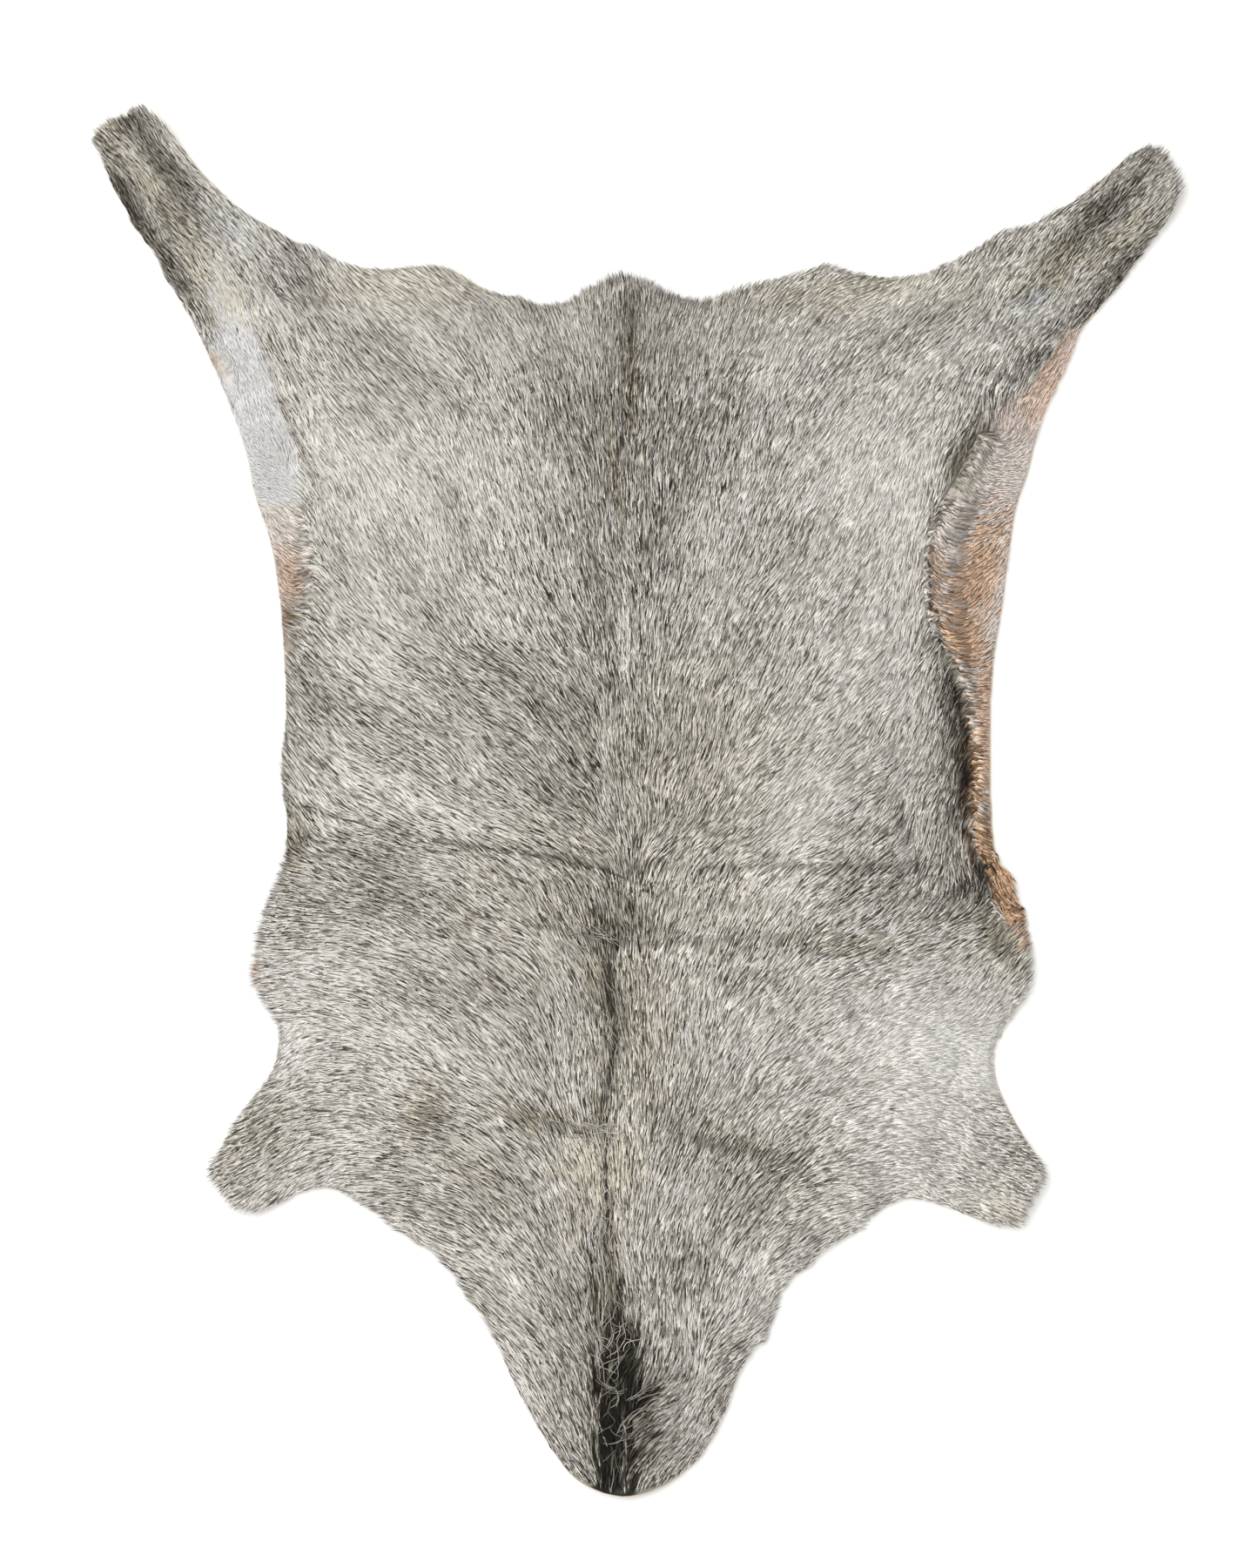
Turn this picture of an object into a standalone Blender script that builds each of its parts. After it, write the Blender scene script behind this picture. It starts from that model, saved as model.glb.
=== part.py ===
"""Goatskin tanned whole with its hair on, laid flat with the hair side up.

The hide is one solid: a thin skin with the depth of its coat on it. Its form
comes from the cut line round the skin, the depth of the coat in each region,
the banks where the long coat ends at the thin belly hair, and the creases.
Metres, +Z up, +Y towards the tail, +X towards the right edge as it lies.
"""

from typing import NamedTuple

import bpy
import numpy as np
from mathutils import Matrix, Vector, geometry, noise

MM = 0.001

# Coat and skin, mm.
SKIN_THICKNESS = 1.6
RIM_THICKNESS = 2.4
DEEPEST_COAT = 16.0
RIM_ROUNDING = 17.0
BANK_WIDTH = 9.0
BANK_LIP = 1.2
BANK_LIP_INSET = 8.0
BANK_LIP_WIDTH = 7.0
THIN_COAT = 2.9
PLAIN_DEPTH = 8.0
PATCH_SHARPNESS = 1.6

# Unevenness of the coat, mm.
BROAD_LUMP_LENGTH = 70.0
BROAD_LUMP_HEIGHT = 1.5
CLUMP_LENGTH = 34.0
CLUMP_WIDTH = 19.0
CLUMP_HEIGHT = 0.9

# Form of a crease: its furrow fades towards each end, and the hide swells a
# little beside it, at so many half widths from the middle.
CREASE_FADE = 30.0
CREASE_END_SHARE = 0.35
SWELL_PLACE = 2.6
SWELL_SHARE = 0.24

# Locks along a frayed edge: pitch in mm, the rest as shares of pitch or fringe.
LOCK_PITCH = 7.6
LOCK_PITCH_RANGE = (0.75, 1.25)
LOCK_TIP_PLACE = 0.55
NOTCH_RANGE = (0.3, 0.6)
TIP_RANGE = (0.25, 0.65)
LEAST_FRINGE = 1.0
LOCK_SEED = 11

# Spacing of the surface's points, mm.
CLEAN_EDGE_PITCH = 10.0
INNER_RING_INSET = 6.5
INNER_RING_SPACING = 7.5
INNER_RING_CLEARANCE = 4.0
BODY_SPACING = 12.2
BODY_CLEARANCE = 11.0
CREASE_SPACING = 9.0
CREASE_SIDE_PLACE = 1.15
CREASE_CLEARANCE = 8.0
CURVE_STEPS = 14
TANGENT_REACH = 3.0

HAIR_COLOUR = (0.342, 0.328, 0.292)
HAIR_ROUGHNESS = 0.88


class Stretch(NamedTuple):
    """A stretch of the cut line: fringe is how far locks reach past it."""

    name: str
    fringe: float
    points: tuple


class Patch(NamedTuple):
    """A region of the coat: middle, half width, half length and depth."""

    name: str
    across: float
    along: float
    half_width: float
    half_length: float
    depth: float


class Bank(NamedTuple):
    """Line where the long coat ends; the thin hair is on the side given."""

    name: str
    side: int
    points: tuple


class Crease(NamedTuple):
    """A soft furrow in the hide along a line of points."""

    name: str
    depth: float
    half_width: float
    points: tuple


class Lift(NamedTuple):
    """A place where the skin stands clear of the ground."""

    name: str
    across: float
    along: float
    radius: float
    height: float


# The cut line, clockwise from the left hind leg. Each row is across, along, mm
# from the middle of the hide.
CUT_LINE = (
    Stretch("left hind end", 2.6, (
        (-383, 521),
        (-381, 529),
        (-370, 539),
        (-360, 542),
        (-351, 549),
        (-343, 546),
        (-335, 539),
    )),
    Stretch("left hind leg, upper edge", 0.0, (
        (-315, 512),
        (-293, 488),
        (-279, 475),
        (-264, 466),
        (-250, 458),
        (-238, 450),
    )),
    Stretch("left rump", 2.2, (
        (-228, 451),
        (-219, 443),
        (-209, 438),
        (-196, 434),
        (-178, 432),
        (-145, 434),
        (-128, 432),
        (-110, 423),
        (-97, 415),
        (-79, 412),
        (-68, 407),
        (-44, 408),
    )),
    Stretch("tail stub", 4.5, (
        (-35, 414),
        (-22, 421),
        (-8, 427),
        (12, 425),
        (25, 417),
        (38, 412),
        (50, 409),
        (64, 411),
    )),
    Stretch("right rump", 2.4, (
        (73, 415),
        (98, 423),
        (115, 427),
        (132, 433),
        (144, 435),
        (159, 430),
        (182, 426),
        (210, 428),
        (228, 435),
        (246, 444),
    )),
    Stretch("right hind leg, upper edge", 2.6, (
        (269, 459),
        (288, 463),
        (305, 473),
        (325, 485),
        (340, 498),
        (358, 513),
        (368, 518),
    )),
    Stretch("right hind end", 3.8, (
        (378, 520),
        (386, 512),
        (393, 501),
        (398, 487),
        (392, 476),
    )),
    Stretch("right hind leg, lower edge", 2.0, (
        (379, 457),
        (360, 431),
        (349, 416),
        (335, 401),
        (324, 388),
    )),
    Stretch("right belly", 0.0, (
        (314, 362),
        (299, 331),
        (290, 302),
        (286, 284),
        (279, 266),
        (272, 222),
        (268, 191),
        (263, 159),
        (260, 120),
        (260, 60),
        (263, 13),
        (266, 6),
    )),
    Stretch("right elbow", 3.2, (
        (274, 5),
        (278, -12),
        (286, -44),
        (289, -76),
        (284, -92),
        (273, -107),
        (264, -123),
    )),
    Stretch("right foreleg, upper edge", 0.6, (
        (262, -139),
        (265, -154),
        (280, -184),
        (290, -200),
    )),
    Stretch("right foreleg end", 3.4, (
        (297, -210),
        (297, -223),
        (288, -235),
        (283, -249),
        (281, -254),
        (268, -253),
    )),
    Stretch("right armpit", 0.0, (
        (253, -250),
        (228, -239),
        (212, -235),
        (199, -234),
        (187, -238),
    )),
    Stretch("right shoulder", 3.8, (
        (174, -247),
        (160, -262),
        (145, -272),
        (127, -286),
        (113, -299),
        (106, -317),
        (100, -329),
        (99, -341),
        (86, -348),
    )),
    Stretch("neck end", 0.0, (
        (80, -357),
        (68, -390),
        (52, -419),
        (40, -431),
        (22, -442),
        (0, -448),
        (-20, -445),
        (-39, -434),
        (-52, -418),
        (-70, -388),
        (-86, -356),
        (-93, -340),
    )),
    Stretch("left shoulder", 3.8, (
        (-103, -327),
        (-112, -312),
        (-119, -299),
        (-135, -280),
        (-158, -264),
        (-172, -251),
        (-191, -237),
    )),
    Stretch("left armpit", 0.0, (
        (-205, -229),
        (-216, -226),
        (-228, -227),
        (-241, -232),
    )),
    Stretch("left foreleg end", 3.2, (
        (-256, -240),
        (-269, -243),
        (-281, -240),
        (-290, -231),
        (-300, -214),
    )),
    Stretch("left foreleg, upper edge", 2.0, (
        (-294, -204),
        (-283, -182),
        (-265, -158),
        (-255, -143),
        (-250, -122),
    )),
    Stretch("left elbow", 3.4, (
        (-252, -107),
        (-265, -86),
        (-269, -75),
        (-267, -60),
        (-261, -29),
        (-254, -12),
        (-248, -1),
    )),
    Stretch("left flank", 1.6, (
        (-245, 16),
        (-244, 35),
        (-247, 56),
        (-248, 82),
        (-245, 104),
    )),
    Stretch("left belly", 0.0, (
        (-245, 125),
        (-249, 190),
        (-256, 237),
        (-268, 272),
        (-273, 299),
        (-284, 331),
        (-304, 378),
        (-320, 409),
    )),
    Stretch("left hind leg, lower edge", 2.2, (
        (-331, 426),
        (-338, 441),
        (-347, 452),
        (-363, 479),
        (-371, 495),
        (-378, 513),
    )),
)

COAT_DEPTH = (
    Patch("back", 0, 190, 190, 210, 8.4),
    Patch("withers", 0, -120, 190, 120, 9.0),
    Patch("left haunch", -190, 350, 90, 80, 8.2),
    Patch("right haunch", 190, 350, 90, 80, 8.2),
    Patch("neck", 0, -370, 85, 80, 8.8),
    Patch("mane", -4, -380, 24, 70, 12.0),
    Patch("tail stub", 2, 395, 40, 30, 9.5),
    Patch("left hind leg", -310, 455, 55, 60, 5.6),
    Patch("right hind leg", 325, 455, 55, 60, 6.0),
    Patch("left elbow", -245, -60, 50, 60, 7.4),
    Patch("right elbow", 250, -60, 50, 60, 7.4),
    Patch("left foreleg", -260, -195, 40, 50, 6.2),
    Patch("right foreleg", 260, -200, 40, 50, 6.2),
)

# Rows of a bank run down the hide: along, across, mm.
BANKS = (
    Bank("left groin and belly", -1, (
        (420, -345),
        (375, -298),
        (330, -262),
        (275, -234),
        (219, -228),
        (160, -236),
        (125, -256),
    )),
    Bank("right groin and belly", 1, (
        (410, 355),
        (372, 304),
        (325, 266),
        (250, 232),
        (188, 229),
        (94, 243),
        (20, 252),
        (-30, 268),
        (-60, 296),
    )),
)

# Rows of a crease: across, along, mm.
CREASES = (
    Crease("across the back", 3.6, 5.5, (
        (-225, 44),
        (-160, 26),
        (-100, 17),
        (-20, 5),
        (40, -1),
        (120, 1),
        (228, 2),
    )),
    Crease("left of the loin", 1.8, 6.0, (
        (-236, 80),
        (-190, 77),
        (-130, 66),
    )),
    Crease("behind the withers", 3.0, 5.5, (
        (-52, -44),
        (-8, -56),
        (70, -52),
        (175, -46),
    )),
    Crease("along the withers", 3.4, 5.0, (
        (-14, -62),
        (-12, -96),
        (-8, -128),
        (-14, -158),
        (-22, -180),
    )),
    Crease("left of the neck", 3.0, 6.0, (
        (-110, -172),
        (-56, -183),
        (-6, -192),
    )),
    Crease("right of the neck", 3.2, 6.0, (
        (34, -188),
        (70, -202),
        (124, -206),
    )),
    Crease("parting along the back", 1.6, 6.5, (
        (2, 400),
        (-1, 300),
        (-5, 180),
        (-2, 60),
        (-1, 20),
    )),
    Crease("parting of the neck", 1.8, 6.5, (
        (-14, -215),
        (-12, -250),
        (-13, -290),
    )),
)

LIFTS = (
    Lift("left hind end", -372, 545, 85, 7.0),
    Lift("right hind end", 392, 515, 85, 6.0),
    Lift("left foreleg end", -298, -228, 60, 6.0),
    Lift("right foreleg end", 298, -236, 60, 5.5),
    Lift("neck end", 0, -458, 60, 4.0),
    Lift("left rump edge", -150, 448, 52, 3.5),
    Lift("right rump edge", 145, 448, 50, 3.5),
    Lift("right flank corner", 284, 0, 38, 3.5),
    Lift("left elbow edge", -280, -70, 46, 3.0),
    Lift("right elbow edge", 300, -80, 44, 3.0),
)


def smooth_step(value):
    """Ease from 0 to 1 as the value goes from 0 to 1."""
    t = np.clip(value, 0.0, 1.0)
    return t * t * (3.0 - 2.0 * t)


def curve_through(points, closed):
    """Smooth line through the points, with knots spaced by root of distance."""
    pts = np.array(points, dtype=float)
    if closed:
        pts = np.vstack([pts[-1:], pts, pts[:2]])
    else:
        first = 2.0 * pts[0] - pts[1]
        last = 2.0 * pts[-1] - pts[-2]
        pts = np.vstack([first, pts, last])
    line = []
    for i in range(1, len(pts) - 2):
        line.append(curve_piece(pts[i - 1:i + 3]))
    if not closed:
        line.append(pts[-2:-1])
    return np.vstack(line)


def curve_piece(four):
    """Points of a smooth curve between the middle two of four points."""
    gaps = np.sqrt(np.linalg.norm(np.diff(four[:, :2], axis=0), axis=1))
    knots = np.concatenate([[0.0], np.cumsum(gaps)])
    t = np.linspace(knots[1], knots[2], CURVE_STEPS, endpoint=False)[:, None]

    def blend(a, b, low, high):
        return ((high - t) * a + (t - low) * b) / (high - low)

    a1 = blend(four[0], four[1], knots[0], knots[1])
    a2 = blend(four[1], four[2], knots[1], knots[2])
    a3 = blend(four[2], four[3], knots[2], knots[3])
    b1 = blend(a1, a2, knots[0], knots[2])
    b2 = blend(a2, a3, knots[1], knots[3])
    return blend(b1, b2, knots[1], knots[2])


def cut_line_points():
    """Rows of across, along and fringe for the whole cut line."""
    rows = []
    for stretch in CUT_LINE:
        for across, along in stretch.points:
            rows.append((across, along, stretch.fringe))
    return rows


def rim_line():
    """Closed rim of the hide with a lock and a notch for each tuft of fringe."""
    line = curve_through(cut_line_points(), closed=True)
    ahead = np.roll(line[:, :2], -1, axis=0) - line[:, :2]
    length = np.linalg.norm(ahead, axis=1)
    distance = np.concatenate([[0.0], np.cumsum(length)])
    looped = np.vstack([line, line[:1]])
    total = distance[-1]
    rng = np.random.default_rng(LOCK_SEED)

    def at(place, offset):
        place = place % total
        x = np.interp(place, distance, looped[:, 0])
        y = np.interp(place, distance, looped[:, 1])
        side = tangent_at(place, distance, looped)
        return (x - side[1] * offset, y + side[0] * offset)

    rim = []
    place = 0.0
    while place < total - LOCK_TIP_PLACE * LOCK_PITCH:
        fringe = max(0.0, np.interp(place, distance, looped[:, 2]))
        if fringe < LEAST_FRINGE:
            rim.append(at(place, 0.0))
            place += CLEAN_EDGE_PITCH
            continue
        pitch = LOCK_PITCH * rng.uniform(*LOCK_PITCH_RANGE)
        rim.append(at(place, -fringe * rng.uniform(*NOTCH_RANGE)))
        rim.append(at(place + LOCK_TIP_PLACE * pitch, fringe * rng.uniform(*TIP_RANGE)))
        place += pitch
    return np.array(rim)


def tangent_at(place, distance, looped):
    """Unit direction of the line at a distance along it."""
    total = distance[-1]
    before = (place - TANGENT_REACH) % total
    after = (place + TANGENT_REACH) % total
    dx = np.interp(after, distance, looped[:, 0]) - np.interp(before, distance, looped[:, 0])
    dy = np.interp(after, distance, looped[:, 1]) - np.interp(before, distance, looped[:, 1])
    size = max(np.hypot(dx, dy), 1e-6)
    return (dx / size, dy / size)


def distance_to_line(points, line, closed):
    """Shortest distance from each point to a line of straight pieces."""
    start = line if closed else line[:-1]
    end = np.roll(line, -1, axis=0) if closed else line[1:]
    nearest = np.full(len(points), 1e9)
    for a, b in zip(start, end):
        way = b - a
        t = np.clip(((points - a) @ way) / max(way @ way, 1e-9), 0.0, 1.0)
        gap = np.linalg.norm(points - (a + t[:, None] * way), axis=1)
        nearest = np.minimum(nearest, gap)
    return nearest


def inside_rim(points, rim):
    """True for each point that lies inside the closed rim."""
    inside = np.zeros(len(points), dtype=bool)
    x, y = points[:, 0], points[:, 1]
    for a, b in zip(rim, np.roll(rim, -1, axis=0)):
        crosses = (a[1] > y) != (b[1] > y)
        slope = (b[0] - a[0]) / (b[1] - a[1] + 1e-12)
        inside ^= crosses & (x < a[0] + (y - a[1]) * slope)
    return inside


def resample(line, spacing):
    """Points at an even spacing along an open line."""
    gaps = np.linalg.norm(np.diff(line, axis=0), axis=1)
    distance = np.concatenate([[0.0], np.cumsum(gaps)])
    count = max(2, int(round(distance[-1] / spacing)) + 1)
    places = np.linspace(0.0, distance[-1], count)
    x = np.interp(places, distance, line[:, 0])
    y = np.interp(places, distance, line[:, 1])
    return np.column_stack([x, y])


def spread_out(points, spacing):
    """Leave out any point closer than the spacing to one already kept."""
    kept = []
    for point in points:
        near = False
        for other in kept:
            if abs(point[0] - other[0]) < spacing and np.hypot(*(point - other)) < spacing:
                near = True
                break
        if not near:
            kept.append(point)
    return np.array(kept)


def inner_ring(rim):
    """Points just inside the rim, where the coat rounds over."""
    ahead = np.roll(rim, -1, axis=0) - np.roll(rim, 1, axis=0)
    ahead /= np.linalg.norm(ahead, axis=1)[:, None]
    inward = np.column_stack([ahead[:, 1], -ahead[:, 0]])
    ring = rim + inward * INNER_RING_INSET
    ring = ring[inside_rim(ring, rim)]
    ring = ring[distance_to_line(ring, rim, closed=True) > INNER_RING_CLEARANCE]
    return spread_out(ring, INNER_RING_SPACING)


def crease_points():
    """Rows of points down the middle and both banks of every crease."""
    rows = []
    for crease in CREASES:
        middle = resample(curve_through(crease.points, closed=False), CREASE_SPACING)
        way = np.gradient(middle, axis=0)
        way /= np.linalg.norm(way, axis=1)[:, None]
        aside = np.column_stack([-way[:, 1], way[:, 0]])
        aside *= crease.half_width * CREASE_SIDE_PLACE
        rows.append(middle)
        rows.append(middle + aside)
        rows.append(middle - aside)
    return spread_out(np.vstack(rows), 0.5 * CREASE_SPACING)


def body_points(rim, rows):
    """Triangular spread of points over the rest of the hide."""
    low = rim.min(axis=0)
    high = rim.max(axis=0)
    step_up = BODY_SPACING * np.sqrt(3.0) / 2.0
    lattice = []
    for row, y in enumerate(np.arange(low[1], high[1], step_up)):
        shift = 0.5 * BODY_SPACING * (row % 2)
        for x in np.arange(low[0] + shift, high[0], BODY_SPACING):
            lattice.append((x, y))
    lattice = np.array(lattice)
    lattice = lattice[inside_rim(lattice, rim)]
    lattice = lattice[distance_to_line(lattice, rim, closed=True) > BODY_CLEARANCE]
    clear = np.ones(len(lattice), dtype=bool)
    for point in rows:
        clear &= np.hypot(lattice[:, 0] - point[0], lattice[:, 1] - point[1]) > CREASE_CLEARANCE
    return lattice[clear]


def lift_of(points):
    """Height of the skin's underside: flat, but for the places it stands clear."""
    height = np.zeros(len(points))
    for lift in LIFTS:
        gap = np.hypot(points[:, 0] - lift.across, points[:, 1] - lift.along)
        rise = lift.height * smooth_step(1.0 - gap / lift.radius)
        height = np.maximum(height, rise)
    return height


def patch_depth(points):
    """Depth of the long coat, blended between the regions."""
    least = 1e-6
    total = np.full(len(points), least)
    depth = np.full(len(points), least * PLAIN_DEPTH)
    for patch in COAT_DEPTH:
        u = (points[:, 0] - patch.across) / patch.half_width
        v = (points[:, 1] - patch.along) / patch.half_length
        weight = np.exp(-PATCH_SHARPNESS * (u * u + v * v))
        total += weight
        depth += weight * patch.depth
    return depth / total


def bank_share(points):
    """Share of long coat at each point and how near it is to a bank's lip."""
    share = np.ones(len(points))
    lip = np.zeros(len(points))
    for bank in BANKS:
        rows = curve_through(bank.points, closed=False)
        order = np.argsort(rows[:, 0])
        edge = np.interp(points[:, 1], rows[order, 0], rows[order, 1])
        within = (points[:, 1] > rows[:, 0].min()) & (points[:, 1] < rows[:, 0].max())
        beyond = (points[:, 0] - edge) * bank.side
        thin = smooth_step(beyond / BANK_WIDTH + 0.5)
        share = np.where(within, np.minimum(share, 1.0 - thin), share)
        near = np.exp(-((beyond + BANK_LIP_INSET) / BANK_LIP_WIDTH) ** 2)
        lip = np.where(within, np.maximum(lip, near), lip)
    return share, lip


def crease_depth(points):
    """How far the creases pull the coat down, with a soft swell each side."""
    drop = np.zeros(len(points))
    for crease in CREASES:
        line = resample(curve_through(crease.points, closed=False), CREASE_SPACING)
        gap = distance_to_line(points, line, closed=False)
        end = np.minimum(
            np.hypot(*(points - line[0]).T),
            np.hypot(*(points - line[-1]).T),
        )
        fade = CREASE_END_SHARE + (1.0 - CREASE_END_SHARE) * smooth_step(end / CREASE_FADE)
        furrow = np.exp(-(gap / crease.half_width) ** 2)
        swell = np.exp(-(gap / crease.half_width - SWELL_PLACE) ** 2)
        drop = drop + crease.depth * fade * (furrow - SWELL_SHARE * swell)
    return drop


def lumps(points):
    """Broad swells and smaller clumps that run along the hide."""
    height = np.zeros(len(points))
    for i, (x, y) in enumerate(points):
        broad = noise.noise(Vector((x / BROAD_LUMP_LENGTH, y / BROAD_LUMP_LENGTH, 2.3)))
        clump = noise.noise(Vector((x / CLUMP_WIDTH, y / CLUMP_LENGTH, 7.1)))
        height[i] = BROAD_LUMP_HEIGHT * broad + CLUMP_HEIGHT * clump
    return height


def coat_depth(points, rim):
    """Thickness of hide and coat together at each point."""
    share, lip = bank_share(points)
    long_coat = patch_depth(points) + BANK_LIP * lip + lumps(points) - crease_depth(points)
    depth = THIN_COAT + share * (long_coat - THIN_COAT)
    to_rim = distance_to_line(points, rim, closed=True)
    rise = np.sqrt(smooth_step(to_rim / RIM_ROUNDING))
    depth = RIM_THICKNESS + rise * (depth - RIM_THICKNESS)
    return np.clip(depth, SKIN_THICKNESS, DEEPEST_COAT)


def skin_surface(name):
    """The underside of the hide as an open surface filled inside the rim."""
    rim = rim_line()
    creases = crease_points()
    creases = creases[inside_rim(creases, rim)]
    creases = creases[distance_to_line(creases, rim, closed=True) > BODY_CLEARANCE]
    points = np.vstack([rim, inner_ring(rim), creases, body_points(rim, creases)])
    flat = [Vector((x, y)) for x, y in points]
    boundary = list(range(len(rim) - 1, -1, -1))
    filled = geometry.delaunay_2d_cdt(flat, [], [boundary], 1, 1e-5)
    corners = np.array([(v.x, v.y) for v in filled[0]])
    height = lift_of(corners)
    mesh = bpy.data.meshes.new(name)
    places = np.column_stack([corners, height]) * MM
    mesh.from_pydata([tuple(place) for place in places], [], filled[2])
    mesh.validate()
    return mesh, coat_depth(corners, rim)


def hair_material():
    """Grizzled grey goat hair, dull."""
    material = bpy.data.materials.new("goat_hair")
    material.use_nodes = True
    shader = material.node_tree.nodes["Principled BSDF"]
    shader.inputs["Base Color"].default_value = (*HAIR_COLOUR, 1.0)
    shader.inputs["Roughness"].default_value = HAIR_ROUGHNESS
    shader.inputs["Metallic"].default_value = 0.0
    return material


def make_hide(collection):
    """Thicken the skin surface upwards by the depth of its coat."""
    mesh, depth = skin_surface("hide")
    hide = bpy.data.objects.new("hide", mesh)
    collection.objects.link(hide)
    group = hide.vertex_groups.new(name="coat")
    for index, value in enumerate(depth):
        group.add([index], value / DEEPEST_COAT, "REPLACE")
    thicken = hide.modifiers.new("coat", "SOLIDIFY")
    thicken.thickness = DEEPEST_COAT * MM
    thicken.offset = 1.0
    thicken.vertex_group = "coat"
    thicken.use_rim = True
    hide.data.materials.append(hair_material())
    return hide


def settle(hide):
    """Fix the thickened form and stand it over the middle of the ground."""
    graph = bpy.context.evaluated_depsgraph_get()
    solid = bpy.data.meshes.new_from_object(hide.evaluated_get(graph))
    hide.modifiers.clear()
    hide.vertex_groups.clear()
    hide.data = solid
    places = np.array([vertex.co for vertex in solid.vertices])
    low = places.min(axis=0)
    high = places.max(axis=0)
    middle = 0.5 * (low + high)
    solid.transform(Matrix.Translation((-middle[0], -middle[1], -low[2])))
    for face in solid.polygons:
        face.use_smooth = True


def clear_scene():
    """Start from an empty file."""
    for item in list(bpy.data.objects):
        bpy.data.objects.remove(item, do_unlink=True)


def main():
    """Make the goatskin."""
    clear_scene()
    collection = bpy.data.collections.new("goatskin")
    bpy.context.scene.collection.children.link(collection)
    hide = make_hide(collection)
    settle(hide)


main()
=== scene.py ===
"""Looks of the goatskin: its suede skin, the mat of underwool and the hair.

The solid hide is the frame. Its upper and lower faces are read into height
maps, and every piece is laid on them: a thin skin below, a mat of underwool
on it, then locks of hair combed from neck to tail and fanned out from the
spine, and the long crossed hairs of the mane. Tables give the comb strokes,
the tones and the fringes in millimetres from the middle of the back.
"""

from __future__ import annotations

import logging
import math
from collections.abc import Callable, Iterable
from dataclasses import dataclass, field
from enum import Enum
from typing import NamedTuple, TypeVar

import bpy
import numpy as np
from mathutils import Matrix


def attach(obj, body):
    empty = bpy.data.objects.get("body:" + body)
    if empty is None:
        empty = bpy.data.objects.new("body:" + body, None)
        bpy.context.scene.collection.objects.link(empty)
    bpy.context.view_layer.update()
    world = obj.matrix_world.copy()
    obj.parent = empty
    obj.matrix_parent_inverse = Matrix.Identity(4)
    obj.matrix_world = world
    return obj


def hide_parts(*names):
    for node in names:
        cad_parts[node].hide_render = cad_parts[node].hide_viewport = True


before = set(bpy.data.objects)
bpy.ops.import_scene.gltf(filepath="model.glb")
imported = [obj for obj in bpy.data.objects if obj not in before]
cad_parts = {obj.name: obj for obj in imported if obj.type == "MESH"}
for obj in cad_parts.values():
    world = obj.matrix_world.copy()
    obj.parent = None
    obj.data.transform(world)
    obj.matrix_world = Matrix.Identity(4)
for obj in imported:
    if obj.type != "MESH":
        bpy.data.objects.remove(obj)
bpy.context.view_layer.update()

LOG = logging.getLogger("goatskin")

MM = 0.001
PALETTE = "OFBake"

# Least divisors, for lengths and for shares.
TINY = 1e-12
SMALL = 1e-6

# How far, in cells, a place that is read has to stay from a grid's last line.
GRID_END = 1.001

Array = np.ndarray
Row = TypeVar("Row")
Surface = Callable[[Array, Array], Array]

# Where the tables' origin, on the spine at the long crease, lies in the frame.
TABLE_ORIGIN = (-7.4, -51.2)

# The photograph's frame and the hide in it, pixels and millimetres per pixel.
PHOTO_WIDTH = 1445
PHOTO_HEIGHT = 1801
PHOTO_SCALE = 0.625
HIDE_MIDDLE_PX = (733.0, 919.0)


class Stroke(NamedTuple):
    """A stroke of the comb: a place and the way the hair's tips point."""

    across: float
    along: float
    angle: float


class Tone(NamedTuple):
    """A soft oval patch of the coat, lighter or darker, and its tint.

    Calm is how far the hair's own light and dark are evened out there, strokes
    how many single dark hairs lie on it, and edge is 1 for a bell and more for
    a patch with a flat middle. Some darker patches, along the coat's edge over
    the belly and along the thigh's border, are painted shadow.
    """

    across: float
    along: float
    half_width: float
    half_length: float
    turn: float
    lighter: float
    tint: float | None = None
    calm: float = 0.0
    edge: float = 1.0
    strokes: float = 0.0


class Panel(NamedTuple):
    """A part of the hide with hair of its own behind a border: thigh or belly.

    Soft is the border's width, ragged how far its line strays, mm. The border
    is across and along pairs round the part, which may lie past the rim.
    Strokes and tones count inside it only.
    """

    soft: float
    ragged: float
    lighter: float
    tint: float
    calm: float
    border: tuple[tuple[float, float], ...]
    strokes: tuple[Stroke, ...]
    tones: tuple[Tone, ...]


class Fringe(NamedTuple):
    """A round stretch of the rim where the hair reaches past the skin."""

    across: float
    along: float
    radius: float
    reach: float


class Crease(NamedTuple):
    """A line where the coat was folded: a trough that hair stops at, painted darker as its shade.

    Points are across and along pairs from end to end. Darker is the painted
    shade along the line, sunk how deep its trough is, mm. The share is how many
    of the locks that reach the line end there, and laid how many single dark
    hairs lie along it as a painted shadow line.
    """

    half_width: float
    darker: float
    sunk: float
    share: float
    points: tuple[tuple[float, float], ...]
    laid: int = 0


class Swirl(NamedTuple):
    """A handful of long crossed hairs round a place.

    Turn is how far each hair's direction swings from root to tip, degrees.
    """

    across: float
    along: float
    half_width: float
    half_length: float
    angle: float
    spread: float
    count: int
    length: float
    lightness: float
    turn: float


class Smear(NamedTuple):
    """Noise that is smeared along the hair.

    It lies between two blurs, narrow and wide, mm. Step is the length of the
    smear's first step, mm, and strength the spread of the result.
    """

    narrow: float
    wide: float
    step: float
    strength: float = 1.0


class Growth(NamedTuple):
    """A value that grows evenly with another: its start and its gain per unit."""

    start: float
    gain: float

    def at(self, amount: Array) -> Array:
        """Return the value at each amount of the other."""
        return self.start + self.gain * amount


class Tint(Enum):
    """Places on the palette's tint axis, from cool white to dark brown."""

    COOL = 0.04
    IVORY = 0.22
    CREAM = 0.40
    MILK = 0.50
    ROSE = 0.60
    TAN = 0.70
    ORANGE = 0.82
    BROWN = 0.94


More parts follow.
